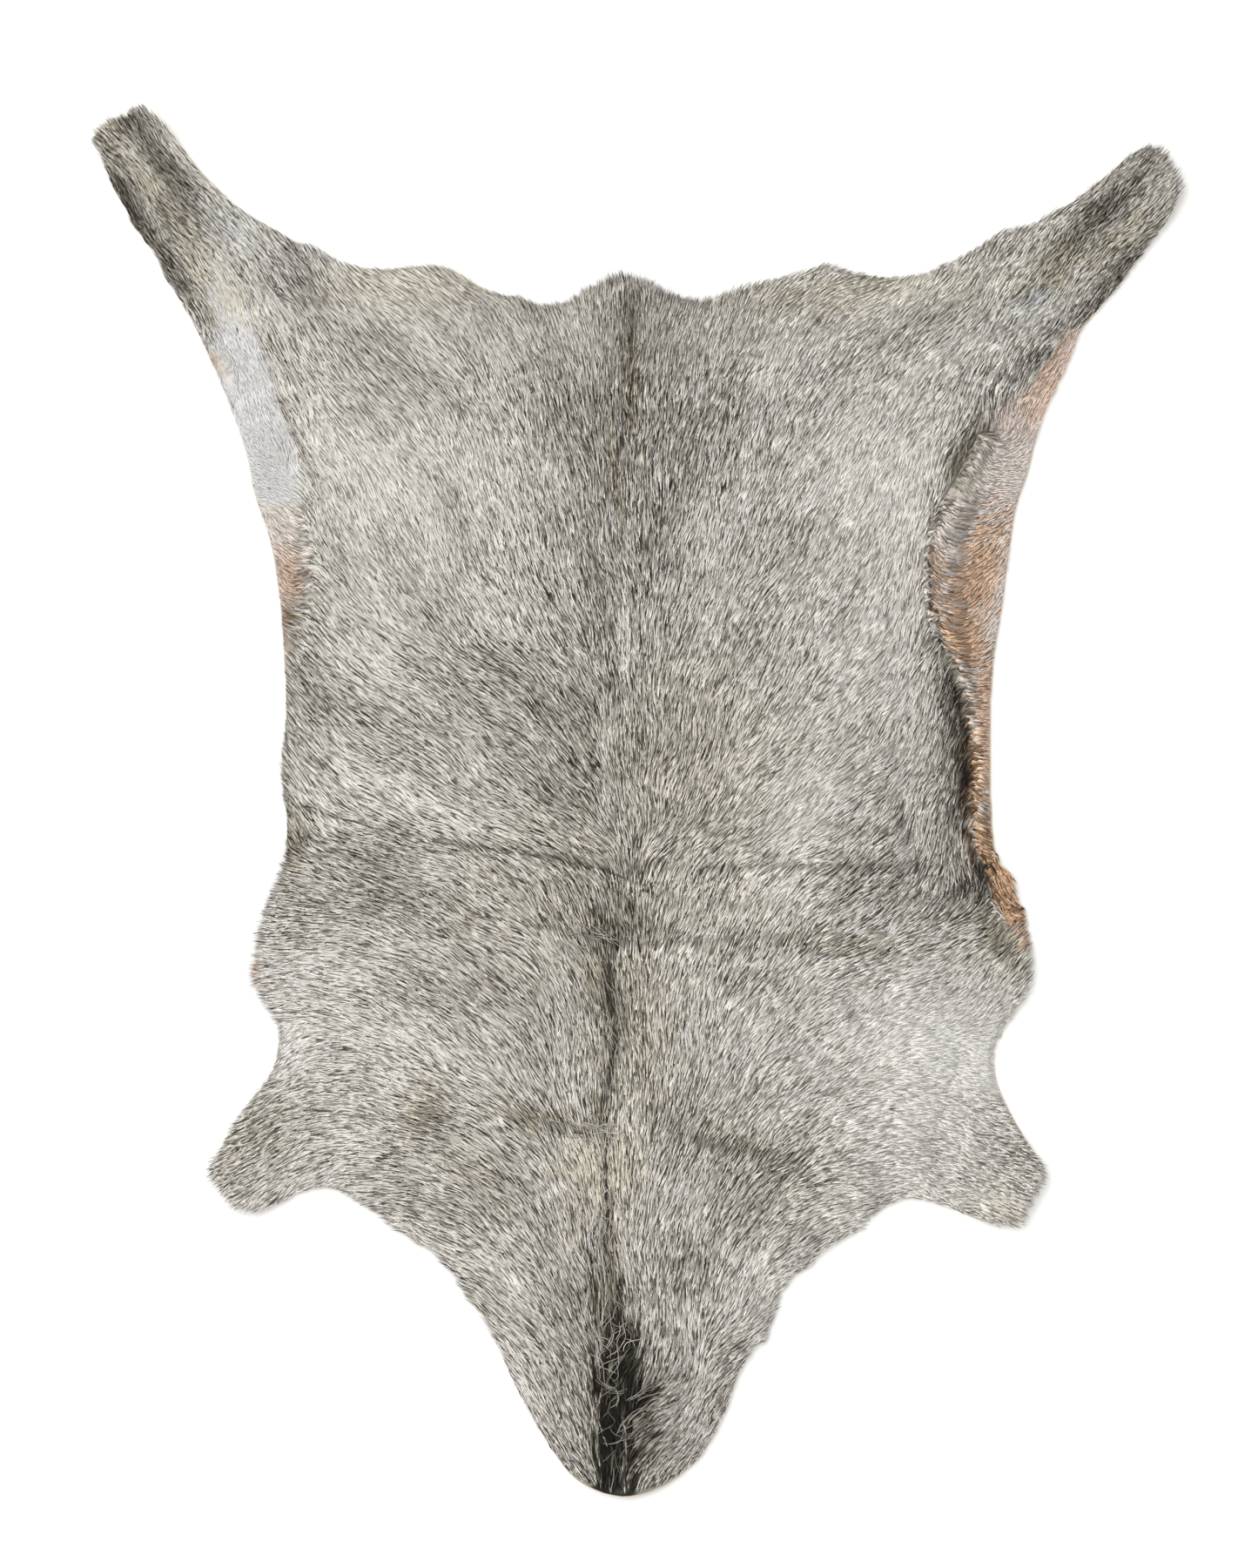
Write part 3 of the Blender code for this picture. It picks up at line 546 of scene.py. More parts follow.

# Folds of the coat, each painted darker along its line as its shade.
CREASES = (
    # across the back, left of the spine
    Crease(1.0, 0.27, 0.5, 0.40, ((-130, 20), (-98, 16), (-60, 10), (-20, 2), (-6, -3)), 64),
    # across the back, right of the spine
    Crease(0.9, 0.24, 0.4, 0.35, ((4, -3), (40, -1), (90, 0), (150, 2), (226, 1)), 70),
    # its fainter run to the left flank
    Crease(1.4, 0.05, 0.3, 0.0, ((-236, 48), (-205, 38), (-165, 27), (-130, 20)), 22),
    # left of the loin
    Crease(2.0, 0.04, 0.4, 0.0, ((-240, 80), (-200, 78), (-160, 72), (-120, 64))),
    # behind the withers, left and right
    Crease(1.3, 0.20, 0.5, 0.25, ((-44, -42), (-26, -49), (-8, -56)), 16),
    Crease(1.6, 0.06, 0.3, 0.0, ((70, -54), (112, -54), (165, -60))),
    # along the withers
    Crease(1.8, 0.30, 0.9, 0.30, (
        (-6, -50), (-13, -64), (-14, -84), (-9, -104), (-9, -126), (-14, -148), (-19, -172),
    )),
    # left of the neck
    Crease(1.3, 0.14, 0.4, 0.15, ((-74, -181), (-48, -186), (-20, -190), (-6, -193)), 16),
    # right of the neck
    Crease(1.5, 0.08, 0.3, 0.0, ((42, -192), (70, -200), (100, -206), (124, -208))),
    # down the nape
    Crease(1.7, 0.12, 0.5, 0.15, ((-15, -196), (-18, -218), (-14, -240), (-17, -262), (-13, -284))),
    # parting by the tail
    Crease(1.2, 0.14, 0.4, 0.15, ((3, 400), (3, 350), (-1, 325), (-7, 300), (-9, 262))),
    # shadow where the belly's hair meets the coat
    Crease(3.0, 0.46, 0.8, 0.35, (
        (237, 130), (241, 112), (244, 86), (243, 62), (242, 42), (243, 24), (249, 8), (257, -6),
    )),
    # parting of the thigh's hair from the coat
    Crease(4.5, 0.18, 0.3, 0.0, (
        (260, 320), (253, 307), (246, 294), (239, 282), (232, 271), (225, 258),
    )),
    # its lighter run up the belly's border
    Crease(2.2, 0.18, 0.3, 0.15, (
        (223, 264), (217, 250), (215, 232), (214, 205), (218, 184), (225, 165), (233, 147),
        (239, 130),
    )),
)

# How steeply a fringe grows from the edge of its circle, and the fringes: across,
# along, radius, reach.
FRINGE_RISE = 1.6

FRINGES = rows_of(Fringe, (
    (-365, 538, 44, 2.6), (-365, 480, 36, 1.6), (-340, 440, 26, 1.8), (-205, 442, 50, 2.0),
    (-120, 428, 50, 2.0), (-50, 408, 42, 2.8), (5, 424, 46, 5.0), (70, 412, 40, 4.0),
    (140, 432, 46, 2.2), (215, 436, 46, 1.8), (290, 466, 44, 2.0), (350, 506, 40, 2.6),
    (390, 500, 40, 4.2), (362, 436, 44, 1.8), (282, -20, 40, 3.2), (288, -80, 44, 3.8),
    (298, -215, 30, 4.2), (280, -248, 28, 4.2), (150, -268, 46, 4.0), (110, -306, 36, 5.0),
    (96, -340, 26, 5.5), (-110, -310, 42, 4.4), (-150, -268, 44, 4.2), (-185, -240, 26, 2.6),
    (-280, -240, 32, 3.4), (-298, -212, 26, 4.0), (-275, -170, 34, 2.4), (-262, -95, 36, 4.0),
    (-264, -50, 40, 4.6), (-250, -5, 30, 3.0), (-247, 70, 44, 1.6),
))

# Across, along, half width, half length, angle, spread, count, length, lightness, turn.
SWIRLS = rows_of(Swirl, (
    (-12, -322, 14, 16, 88, 50, 14, 20, 0.60, 0),
    (-8, -345, 16, 18, 120, 42, 14, 22, 0.64, 40),
    (-14, -352, 12, 18, 58, 34, 11, 24, 0.62, -50),
    (-14, -374, 12, 16, 95, 60, 7, 20, 0.54, 60),
    (-6, -366, 10, 12, 150, 30, 6, 22, 0.60, -60),
    (4, -378, 8, 5, 28, 18, 7, 28, 0.56, -40),
    (-2, -402, 9, 8, 32, 16, 9, 28, 0.58, -35),
    (-12, -396, 11, 14, 90, 50, 6, 18, 0.52, 30),
    (-14, -414, 9, 9, 30, 20, 6, 22, 0.52, -10),
    (-10, -434, 7, 12, 90, 16, 12, 18, 0.34, 0),
    (-18, -48, 20, 6, 152, 20, 22, 18, 0.66, 10),
    (-9, -115, 5, 44, 98, 30, 22, 16, 0.66, 0),
    (-15, -235, 6, 40, 92, 40, 18, 16, 0.74, 0),
    (-20, -186, 22, 6, 168, 20, 22, 18, 0.76, 0),
))


def srgb(code: str) -> tuple[float, float, float, float]:
    """Turn an sRGB hex colour to linear light.

    Args:
        code: Six hex digits, with or without a leading hash.

    Returns:
        Linear red, green, blue and an alpha of 1.
    """
    digits = code.lstrip("#")
    parts = [int(digits[i:i + 2], 16) / 255.0 for i in (0, 2, 4)]
    light = [c / 12.92 if c <= 0.04045 else ((c + 0.055) / 1.055) ** 2.4 for c in parts]
    return (light[0], light[1], light[2], 1.0)


def smooth(value: Array) -> Array:
    """Ease from 0 to 1: three squares less two cubes of the clipped value."""
    t = np.clip(value, 0.0, 1.0)
    return t * t * (3.0 - 2.0 * t)


def to_frame(across: Array, along: Array) -> tuple[Array, Array]:
    """Move table places into the frame's millimetres."""
    return across + TABLE_ORIGIN[0], along + TABLE_ORIGIN[1]


def border_share(
    border: tuple[tuple[float, float], ...],
    soft: float,
    x: Array,
    y: Array,
    astray: Array | float = 0.0,
) -> Array:
    """Return 1 inside a closed border, 0 outside, and between near its line.

    A place is inside when a line from it to the right crosses the border an
    odd number of times. Its distance to the line, less than zero outside,
    over the soft width and from a half on, is eased from 0 to 1.

    Args:
        border: Across and along pairs, mm.
        soft: Width of the change, mm.
        x: Places in the frame, mm.
        y: Places in the frame, mm.
        astray: How far the line is moved outwards near each place, mm.

    Returns:
        Share of the part at each place.
    """
    points = np.array(border, dtype=float)
    px, py = to_frame(points[:, 0], points[:, 1])
    near = np.full(x.shape, np.inf)
    inside = np.zeros(x.shape, dtype=bool)
    for ax, ay, bx, by in zip(px, py, np.roll(px, -1), np.roll(py, -1)):
        near = np.minimum(near, line_square(x, y, ax, ay, bx, by))
        if ay != by:
            inside ^= ((ay > y) != (by > y)) & (x < (bx - ax) * (y - ay) / (by - ay) + ax)
    signed = np.where(inside, 1.0, -1.0) * np.sqrt(near)
    return smooth(0.5 + (signed + astray) / soft)


def line_square(x: Array, y: Array, ax: float, ay: float, bx: float, by: float) -> Array:
    """Return the squared distance of each place to the line from a to b."""
    run = (bx - ax) ** 2 + (by - ay) ** 2
    t = np.clip(((x - ax) * (bx - ax) + (y - ay) * (by - ay)) / run, 0.0, 1.0)
    return (x - ax - t * (bx - ax)) ** 2 + (y - ay - t * (by - ay)) ** 2


@dataclass
class Grid:
    """An even grid over the hide, millimetres in the frame.

    Attributes:
        low: Lowest corner, x and y.
        pitch: Distance between neighbouring points.
        rows: Number of points along y.
        columns: Number of points along x.
    """

    low: tuple[float, float]
    pitch: float
    rows: int
    columns: int

    def points(self) -> tuple[Array, Array]:
        """Return x and y of every grid point, as arrays of rows by columns."""
        x = self.low[0] + self.pitch * np.arange(self.columns)
        y = self.low[1] + self.pitch * np.arange(self.rows)
        return np.meshgrid(x, y)

    def remade(self, pitch: float) -> Grid:
        """Return a grid over the same ground with another pitch."""
        columns = int(self.columns * self.pitch / pitch) + 2
        rows = int(self.rows * self.pitch / pitch) + 2
        return Grid(self.low, pitch, rows, columns)

    def sample(self, values: Array, x: Array, y: Array) -> Array:
        """Read a field between grid points, weighted by nearness on each axis.

        Args:
            values: Field on the grid, rows by columns.
            x: Places to read, millimetres.
            y: Places to read, millimetres.

        Returns:
            The field's value at each place.
        """
        u = np.clip((x - self.low[0]) / self.pitch, 0.0, self.columns - GRID_END)
        v = np.clip((y - self.low[1]) / self.pitch, 0.0, self.rows - GRID_END)
        i = u.astype(int)
        j = v.astype(int)
        a = u - i
        b = v - j
        low = values[j, i] * (1.0 - a) + values[j, i + 1] * a
        high = values[j + 1, i] * (1.0 - a) + values[j + 1, i + 1] * a
        return low * (1.0 - b) + high * b

    def blur(self, values: Array, radius: float) -> Array:
        """Blur a field by a bell of the given radius in mm, by its spectrum."""
        fx = np.fft.rfftfreq(self.columns, self.pitch)
        fy = np.fft.fftfreq(self.rows, self.pitch)[:, None]
        bell = np.exp(-2.0 * (math.pi * radius) ** 2 * (fx * fx + fy * fy))
        return np.fft.irfft2(np.fft.rfft2(values) * bell, s=values.shape)


def shifted(values: Array, down: int, right: int, fill: float) -> Array:
    """Move a field by whole cells, with a fill value at the open sides."""
    out = np.full_like(values, fill)
    rows, columns = values.shape
    src_r = slice(max(0, -down), min(rows, rows - down))
    dst_r = slice(max(0, down), min(rows, rows + down))
    src_c = slice(max(0, -right), min(columns, columns - right))
    dst_c = slice(max(0, right), min(columns, columns + right))
    out[dst_r, dst_c] = values[src_r, src_c]
    return out


def distance_to_false(mask: Array, reach: int) -> Array:
    """Distance in cells from each true cell to the nearest false one.

    First the nearest along each column, then the smallest root of the sum of
    squares over neighbouring columns, both no further than the reach.

    Args:
        mask: True inside.
        reach: Largest distance looked for, cells.

    Returns:
        Distance in cells, at most the reach.
    """
    column = np.where(mask, float(reach), 0.0)
    for step in range(1, reach):
        for way in (-step, step):
            near = shifted(np.where(mask, float(reach), 0.0), way, 0, 0.0)
            column = np.where(near == 0.0, np.minimum(column, step), column)
    square = column * column
    for step in range(1, reach):
        for way in (-step, step):
            near = shifted(column, 0, way, 0.0)
            square = np.minimum(square, near * near + step * step)
    return np.sqrt(square)


@dataclass
class Relief:
    """Height maps of the solid hide, read from its triangles.

    Attributes:
        node: Name of the solid.
        pitch: Spacing of the maps, mm.
        margin: Empty border round the solid, mm.
        steps: Samples along each side of a triangle.
        longest: Longest side that a sampled triangle may have, mm.
        reach: Furthest distance from the rim that is mapped, cells.
        level: Least upright part of the normal of a face that is mapped.
        rim_blur: Radius that rounds the distance map, mm.
        fine_blur: Radius that evens the heights, mm.
        wide_blur: Radius that carries them past the rim, mm.
        thin_share: Share of mapped ground below which the wide blur counts.
        tallest: Greatest height past the rim, mm.
    """

    node: str
    pitch: float = 1.0
    margin: float = 22.0
    steps: int = 22
    longest: float = 14.0
    reach: int = 26
    level: float = 0.2
    rim_blur: float = 0.9
    fine_blur: float = 1.6
    wide_blur: float = 7.0
    thin_share: float = 0.05
    tallest: float = 30.0
    grid: Grid = field(init=False)
    top: Array = field(init=False)
    bottom: Array = field(init=False)
    inside: Array = field(init=False)
    gap: Array = field(init=False)

    def __post_init__(self) -> None:
        """Read the solid's triangles and make the maps."""
        corners = self._halved(self._triangles())
        low = corners[..., :2].min(axis=(0, 1)) - self.margin
        high = corners[..., :2].max(axis=(0, 1)) + self.margin
        size = np.ceil((high - low) / self.pitch).astype(int) + 1
        self.grid = Grid((low[0], low[1]), self.pitch, int(size[1]), int(size[0]))
        normal = np.cross(corners[:, 1] - corners[:, 0], corners[:, 2] - corners[:, 0])
        upright = normal[:, 2] / np.maximum(np.linalg.norm(normal, axis=1), TINY)
        self.top, seen_top = self._height(corners[upright > self.level])
        self.bottom, seen_low = self._height(corners[upright < -self.level])
        self.inside = seen_top & seen_low
        within = distance_to_false(self.inside, self.reach)
        beyond = distance_to_false(~self.inside, self.reach)
        self.gap = self.grid.blur((within - beyond) * self.pitch, self.rim_blur)

    def top_at(self, x: Array, y: Array) -> Array:
        """Return the height of the solid's upper face, mm."""
        return self.grid.sample(self.top, x, y)

    def bottom_at(self, x: Array, y: Array) -> Array:
        """Return the height of the solid's lower face, mm."""
        return self.grid.sample(self.bottom, x, y)

    def gap_at(self, x: Array, y: Array) -> Array:
        """Return the distance inside the rim, mm, less than zero past it."""
        return self.grid.sample(self.gap, x, y)

    def _triangles(self) -> Array:
        """Return the solid's triangles, mm, as triangles by corners by axes."""
        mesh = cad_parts[self.node].data
        mesh.calc_loop_triangles()
        places = np.empty(len(mesh.vertices) * 3, dtype=np.float32)
        mesh.vertices.foreach_get("co", places)
        index = np.empty(len(mesh.loop_triangles) * 3, dtype=np.int32)
        mesh.loop_triangles.foreach_get("vertices", index)
        return places.reshape(-1, 3)[index].reshape(-1, 3, 3).astype(float) / MM

    def _halved(self, corners: Array) -> Array:
        """Halve triangles across their longest side until all sides are short.

        Args:
            corners: Triangles, mm.

        Returns:
            Triangles with no side longer than the longest side allowed.
        """
        done = []
        while len(corners):
            side = np.linalg.norm(np.roll(corners, -1, axis=1) - corners, axis=2)
            short = side.max(axis=1) <= self.longest
            done.append(corners[short])
            corners, side = corners[~short], side[~short]
            first = side.argmax(axis=1)
            row = np.arange(len(corners))
            a = corners[row, first]
            b = corners[row, (first + 1) % 3]
            c = corners[row, (first + 2) % 3]
            middle = 0.5 * (a + b)
            corners = np.concatenate([
                np.stack([a, middle, c], axis=1),
                np.stack([middle, b, c], axis=1),
            ])
        return np.concatenate(done)

    def _height(self, corners: Array) -> tuple[Array, Array]:
        """Spread even samples of every triangle over the grid and average them.

        Args:
            corners: Triangles, mm.

        Returns:
            Height at every grid point, and where the triangles are.
        """
        a, b = np.meshgrid(np.arange(self.steps + 1), np.arange(self.steps + 1))
        keep = a + b <= self.steps
        a = a[keep] / self.steps
        b = b[keep] / self.steps
        weight = np.stack([1.0 - a - b, a, b])
        spots = np.einsum("ks,tkd->tsd", weight, corners).reshape(-1, 3)
        column = np.rint((spots[:, 0] - self.grid.low[0]) / self.pitch).astype(int)
        row = np.rint((spots[:, 1] - self.grid.low[1]) / self.pitch).astype(int)
        cell = row * self.grid.columns + column
        count = np.bincount(cell, minlength=self.grid.rows * self.grid.columns)
        total = np.bincount(cell, spots[:, 2], minlength=count.size)
        shape = (self.grid.rows, self.grid.columns)
        seen = (count > 0).reshape(shape)
        height = (total / np.maximum(count, 1)).reshape(shape)
        share = self.grid.blur(seen.astype(float), self.fine_blur)
        wide_share = self.grid.blur(seen.astype(float), self.wide_blur)
        fine = self.grid.blur(height * seen, self.fine_blur) / np.maximum(share, SMALL)
        wide = self.grid.blur(height * seen, self.wide_blur) / np.maximum(wide_share, SMALL)
        past = np.clip(wide, 0.0, self.tallest)
        return np.where(share > self.thin_share, fine, past), seen


@dataclass
class Comb:
    """Directions of the hair, blended between listed strokes.

    The direction at a place is the sum of the strokes' unit vectors, each
    weighted by the inverse fourth power of its distance, made a unit vector.
    A panel's own strokes take over inside its border. Tufts turn a little to
    one side, so that they part and meet, and waves run through the hair: noise
    smeared across it, so that neighbouring hairs bend together.

    Attributes:
        softness: Distance within which a stroke's weight is even, mm.
        tuft: Radius of a tuft, mm, and its turn, radians.
        broad: The same for a broad lie of the hair.
        wave: Radii of the two blurs that waves lie between, mm, and their turn.
        wave_reach: How far to either side of a hair its wave is shared, mm.
    """

    strokes: tuple[Stroke, ...]
    panels: tuple[Panel, ...]
    pitch: float = 2.0
    softness: float = 13.0
    panel_softness: float = 5.0
    tuft: tuple[float, float] = (3.0, 0.06)
    broad: tuple[float, float] = (12.0, 0.07)
    wave: tuple[float, float, float] = (1.8, 5.0, 0.07)
    wave_reach: int = 6
    wave_step: int = 2
    seed: int = 22
    grid: Grid = field(init=False)
    way_x: Array = field(init=False)
    way_y: Array = field(init=False)

    def prepare(self, relief: Relief) -> None:
        """Work out the directions on a coarse grid over the hide."""
        self.grid = relief.grid.remade(self.pitch)
        x, y = self.grid.points()
        way_x, way_y = self._blend(self.strokes, self.softness, x, y)
        for panel in self.panels:
            share = border_share(panel.border, panel.soft, x, y)
            own_x, own_y = self._blend(panel.strokes, self.panel_softness, x, y)
            way_x += share * (own_x - way_x)
            way_y += share * (own_y - way_y)
        noise = np.random.default_rng(self.seed).standard_normal(x.shape)
        angle = np.arctan2(way_y, way_x)
        for radius, turn in (self.tuft, self.broad):
            soft = self.grid.blur(noise, radius)
            angle += turn * soft / soft.std()
            noise = noise[::-1]
        narrow, wide, turn = self.wave
        noise = self.grid.blur(noise[:, ::-1], narrow) - self.grid.blur(noise[:, ::-1], wide)
        swing = np.zeros(x.shape)
        for off in range(-self.wave_reach, self.wave_reach + 1, self.wave_step):
            swing += self.grid.sample(noise, x - off * np.sin(angle), y + off * np.cos(angle))
        angle += turn * swing / swing.std()
        self.way_x = np.cos(angle)
        self.way_y = np.sin(angle)

    def _blend(
        self,
        strokes: tuple[Stroke, ...],
        softness: float,
        x: Array,
        y: Array,
    ) -> tuple[Array, Array]:
        """Blend the strokes' directions at each place into unit vectors."""
        way_x = np.zeros(x.shape)
        way_y = np.zeros(x.shape)
        for stroke in strokes:
            cx, cy = to_frame(stroke.across, stroke.along)
            weight = 1.0 / ((x - cx) ** 2 + (y - cy) ** 2 + softness ** 2) ** 2
            way_x += weight * math.cos(math.radians(stroke.angle))
            way_y += weight * math.sin(math.radians(stroke.angle))
        size = np.maximum(np.hypot(way_x, way_y), TINY)
        return way_x / size, way_y / size

    def at(self, x: Array, y: Array) -> Array:
        """Return the hair's angle at each place, radians."""
        return np.arctan2(self.grid.sample(self.way_y, x, y), self.grid.sample(self.way_x, x, y))


@dataclass
class Look:
    """Fields of a part of the coat, on one grid.

    Attributes:
        light: Lightness on the palette.
        plain: Tint of the hair that no patch colours.
        tint: Tint of the strongest patch.
        tinted: Share of the hair that takes the patch's tint.
        calm: How far the hair's own light and dark are evened out.
        strokes: How many single dark hairs there are.
    """

    light: Array
    plain: Array
    tint: Array
    tinted: Array
    calm: Array
    strokes: Array

    @classmethod
    def even(cls, shape: tuple[int, ...], light: float, tint: float, calm: float) -> Look:
        """Make even fields with no patches."""
        return cls(
            light=np.full(shape, light),
            plain=np.full(shape, tint),
            tint=np.full(shape, tint),
            tinted=np.zeros(shape),
            calm=np.full(shape, calm),
            strokes=np.zeros(shape),
        )

    def lay(self, tones: tuple[Tone, ...], x: Array, y: Array) -> None:
        """Add oval patches: e to the minus r to the twice edge, r from their sizes."""
        for tone in tones:
            cx, cy = to_frame(tone.across, tone.along)
            turn = math.radians(tone.turn)
            u = (x - cx) * math.cos(turn) + (y - cy) * math.sin(turn)
            v = (y - cy) * math.cos(turn) - (x - cx) * math.sin(turn)
            square = (u / tone.half_length) ** 2 + (v / tone.half_width) ** 2
            share = np.exp(-square ** tone.edge)
            self.light += tone.lighter * share
            self.calm = np.maximum(self.calm, tone.calm * share)
            self.strokes = np.maximum(self.strokes, tone.strokes * share)
            if tone.tint is not None:
                self.tint = np.where(share > self.tinted, tone.tint, self.tint)
                self.tinted = np.maximum(self.tinted, share)

    def cover(self, other: Look, share: Array) -> None:
        """Let another part's fields take over by their share."""
        for name in ("light", "calm", "strokes"):
            mine = getattr(self, name)
            setattr(self, name, mine + share * (getattr(other, name) - mine))
        for name in ("plain", "tint", "tinted"):
            setattr(self, name, np.where(share > 0.5, getattr(other, name), getattr(self, name)))


@dataclass
class Shades:
    """Lightness and tint of the coat over the hide.

    Lightness is a base plus soft oval patches, deepened a little, plus mottle
    and streaks: noise smeared along the hair, so that neighbouring hairs share
    it. Mottle is as wide as a tuft, a streak as a strand and the gap beside it.
    Streaks run further where the hair is long and sleek. Creases add painted
    shade along their lines.

    Attributes:
        sleek: Patches where streaks run further, by how much in lighter.
        depth: How much the patches are deepened.
        clouds: Mottle that is as wide as a few tufts.
        flecks: Mottle that is as wide as a tuft.
        ragged: How the borders of the panels stray.
        strands: The streaks.
        rounds: How often noise is averaged along the hair.
        lengthening: How much longer each round's step is than the last.
        trough: Width of a crease's trough over that of its line of painted shade.
        stopping: Height of a crease's bell from which it stops hair.
    """

    tones: tuple[Tone, ...]
    panels: tuple[Panel, ...]
    creases: tuple[Crease, ...]
    sleek: tuple[Tone, ...]
    base: float = 0.698
    depth: float = 1.42
    plain_tint: float = 0.235
    pitch: float = 1.0
    fine_pitch: float = 0.32
    clouds: Smear = Smear(8.0, 60.0, 3.0, 0.048)
    flecks: Smear = Smear(2.2, 6.0, 1.5, 0.005)
    ragged: Smear = Smear(1.0, 4.0, 1.0)
    strands: Smear = Smear(0.18, 0.40, 0.6)
    rounds: int = 3
    lengthening: float = 3.0
    trough: float = 2.4
    stopping: float = 0.45
    seed: int = 5
    grid: Grid = field(init=False)
    fine: Grid = field(init=False)
    look: Look = field(init=False)
    sunk: Array = field(init=False)
    stop: Array = field(init=False)
    mottle: Array = field(init=False)
    streak: Array = field(init=False)

    def prepare(self, relief: Relief, comb: Comb) -> None:
        """Lay the patches and smear the noise along the hair."""
        self.grid = relief.grid.remade(self.pitch)
        x, y = self.grid.points()
        self.look = Look.even(x.shape, self.base, self.plain_tint, 0.0)
        self.look.lay(self.tones, x, y)
        self.look.light = self.base + self.depth * (self.look.light - self.base)
        rng = np.random.default_rng(self.seed)
        self.mottle = self._smear(self.grid, rng, comb, self.clouds)
        self.mottle += self._smear(self.grid, rng, comb, self.flecks)
        astray = self._smear(self.grid, rng, comb, self.ragged)
        for panel in self.panels:
            part = Look.even(x.shape, self.base + panel.lighter, panel.tint, panel.calm)
            part.lay(panel.tones, x, y)
            share = border_share(panel.border, panel.soft, x, y, panel.ragged * astray)
            self.look.cover(part, share)
        self._sink_creases_and_paint_shade(x, y)
        self.fine = relief.grid.remade(self.fine_pitch)
        run = Look.even(x.shape, 1.0, 0.0, 0.0)
        run.lay(self.sleek, x, y)
        further = self.grid.sample(run.light, *self.fine.points())
        self.streak = self._smear(self.fine, rng, comb, self.strands, further)

    def read(self, name: str, x: Array, y: Array) -> Array:
        """Read one of the look's fields at each place."""
        return self.grid.sample(getattr(self.look, name), x, y)

    def _sink_creases_and_paint_shade(self, x: Array, y: Array) -> None:
        """Sink the coat and paint shade on it along the creases, by a bell across each line."""
        self.sunk = np.zeros(x.shape)
        self.stop = np.zeros(x.shape)
        for crease in self.creases:
            points = np.array(crease.points, dtype=float)
            px, py = to_frame(points[:, 0], points[:, 1])
            near = np.full(x.shape, np.inf)
            for ax, ay, bx, by in zip(px[:-1], py[:-1], px[1:], py[1:]):
                near = np.minimum(near, line_square(x, y, ax, ay, bx, by))
            bell = np.exp(-near / crease.half_width ** 2)
            # painted shade along the crease
            self.look.light -= crease.darker * bell
            trough = np.exp(-near / (self.trough * crease.half_width) ** 2)
            self.sunk = np.maximum(self.sunk, crease.sunk * trough)
            self.stop = np.maximum(self.stop, crease.share * (bell > self.stopping))

    def _smear(
        self,
        grid: Grid,
        rng: np.random.Generator,
        comb: Comb,
        kind: Smear,
        further: float | Array = 1.0,
    ) -> Array:
        """Average noise along the hair's own path through each place.

        In each round a place and the two that lie a step to either side of it
        are added up, and the next round's step is longer.

        Args:
            grid: Grid of the field.
            rng: Source of the noise.
            comb: Directions of the hair.
            kind: The noise, the first step and the strength.
            further: How much longer the steps are at each place.

        Returns:
            Streaks with a mean of 0 and a spread of the kind's strength.
        """
        noise = rng.standard_normal((grid.rows, grid.columns))
        noise = grid.blur(noise, kind.narrow) - grid.blur(noise, kind.wide)
        x, y = grid.points()
        angle = comb.at(x, y)
        half_x, half_y = 0.5 * np.cos(angle), 0.5 * np.sin(angle)
        step = kind.step * further
        for _ in range(self.rounds):
            total = noise.copy()
            for way in (-step, step):
                angle = comb.at(x + way * half_x, y + way * half_y)
                total += grid.sample(noise, x + way * np.cos(angle), y + way * np.sin(angle))
            noise = total
            step = self.lengthening * step
        return kind.strength * ((noise - noise.mean()) / noise.std())


def fringe_reach(x: Array, y: Array) -> Array:
    """Return how far hair may reach past the rim near each place, mm."""
    reach = np.zeros(x.shape)
    for fringe in FRINGES:
        cx, cy = to_frame(fringe.across, fringe.along)
        share = smooth(FRINGE_RISE * (1.0 - np.hypot(x - cx, y - cy) / fringe.radius))
        reach = np.maximum(reach, fringe.reach * share)
    return reach


class Palette:
    """Colours of the hair on two axes: lightness across and tint up."""

    LIGHTNESS = (
        (0.00, "#100F0C"),
        (0.25, "#4D4941"),
        (0.50, "#8B8880"),
        (0.75, "#C7C4BF"),
        (1.00, "#FAFAF9"),
    )
    TINT = (
        (Tint.COOL.value, "#F2F6FF"),
        (Tint.IVORY.value, "#FCF9F5"),
        (Tint.CREAM.value, "#F8F3DF"),
        (Tint.MILK.value, "#FFF7F2"),
        (Tint.ROSE.value, "#FFEEE6"),
        (Tint.TAN.value, "#FFDFC5"),
        (Tint.ORANGE.value, "#FFCD9F"),
        (Tint.BROWN.value, "#CC9468"),
    )
    SPAN = (0.01, 0.99)


def add_node(tree: bpy.types.NodeTree, kind: str, **settings: object) -> bpy.types.Node:
    """Add a node and set its named settings and sockets.

    Args:
        tree: Tree to add to.
        kind: Blender's name of the node.
        **settings: Node settings, socket values, or sockets to link from.

    Returns:
        The new node.
    """
    node = tree.nodes.new(kind)
    for name, value in settings.items():
        if hasattr(node, name):
            setattr(node, name, value)
            continue
        socket = node.inputs[name.replace("_", " ")]
        if isinstance(value, bpy.types.NodeSocket):
            tree.links.new(value, socket)
        else:
            socket.default_value = value
    return node


def fill_ramp(node: bpy.types.Node, stops: tuple[tuple[float, str], ...]) -> None:
    """Set a colour ramp's stops from places and hex colours."""
    ramp = node.color_ramp
    while len(ramp.elements) > 2:
        ramp.elements.remove(ramp.elements[-1])
    for index, (place, code) in enumerate(stops):
        element = ramp.elements[index] if index < 2 else ramp.elements.new(place)
        element.position = place
        element.color = srgb(code)


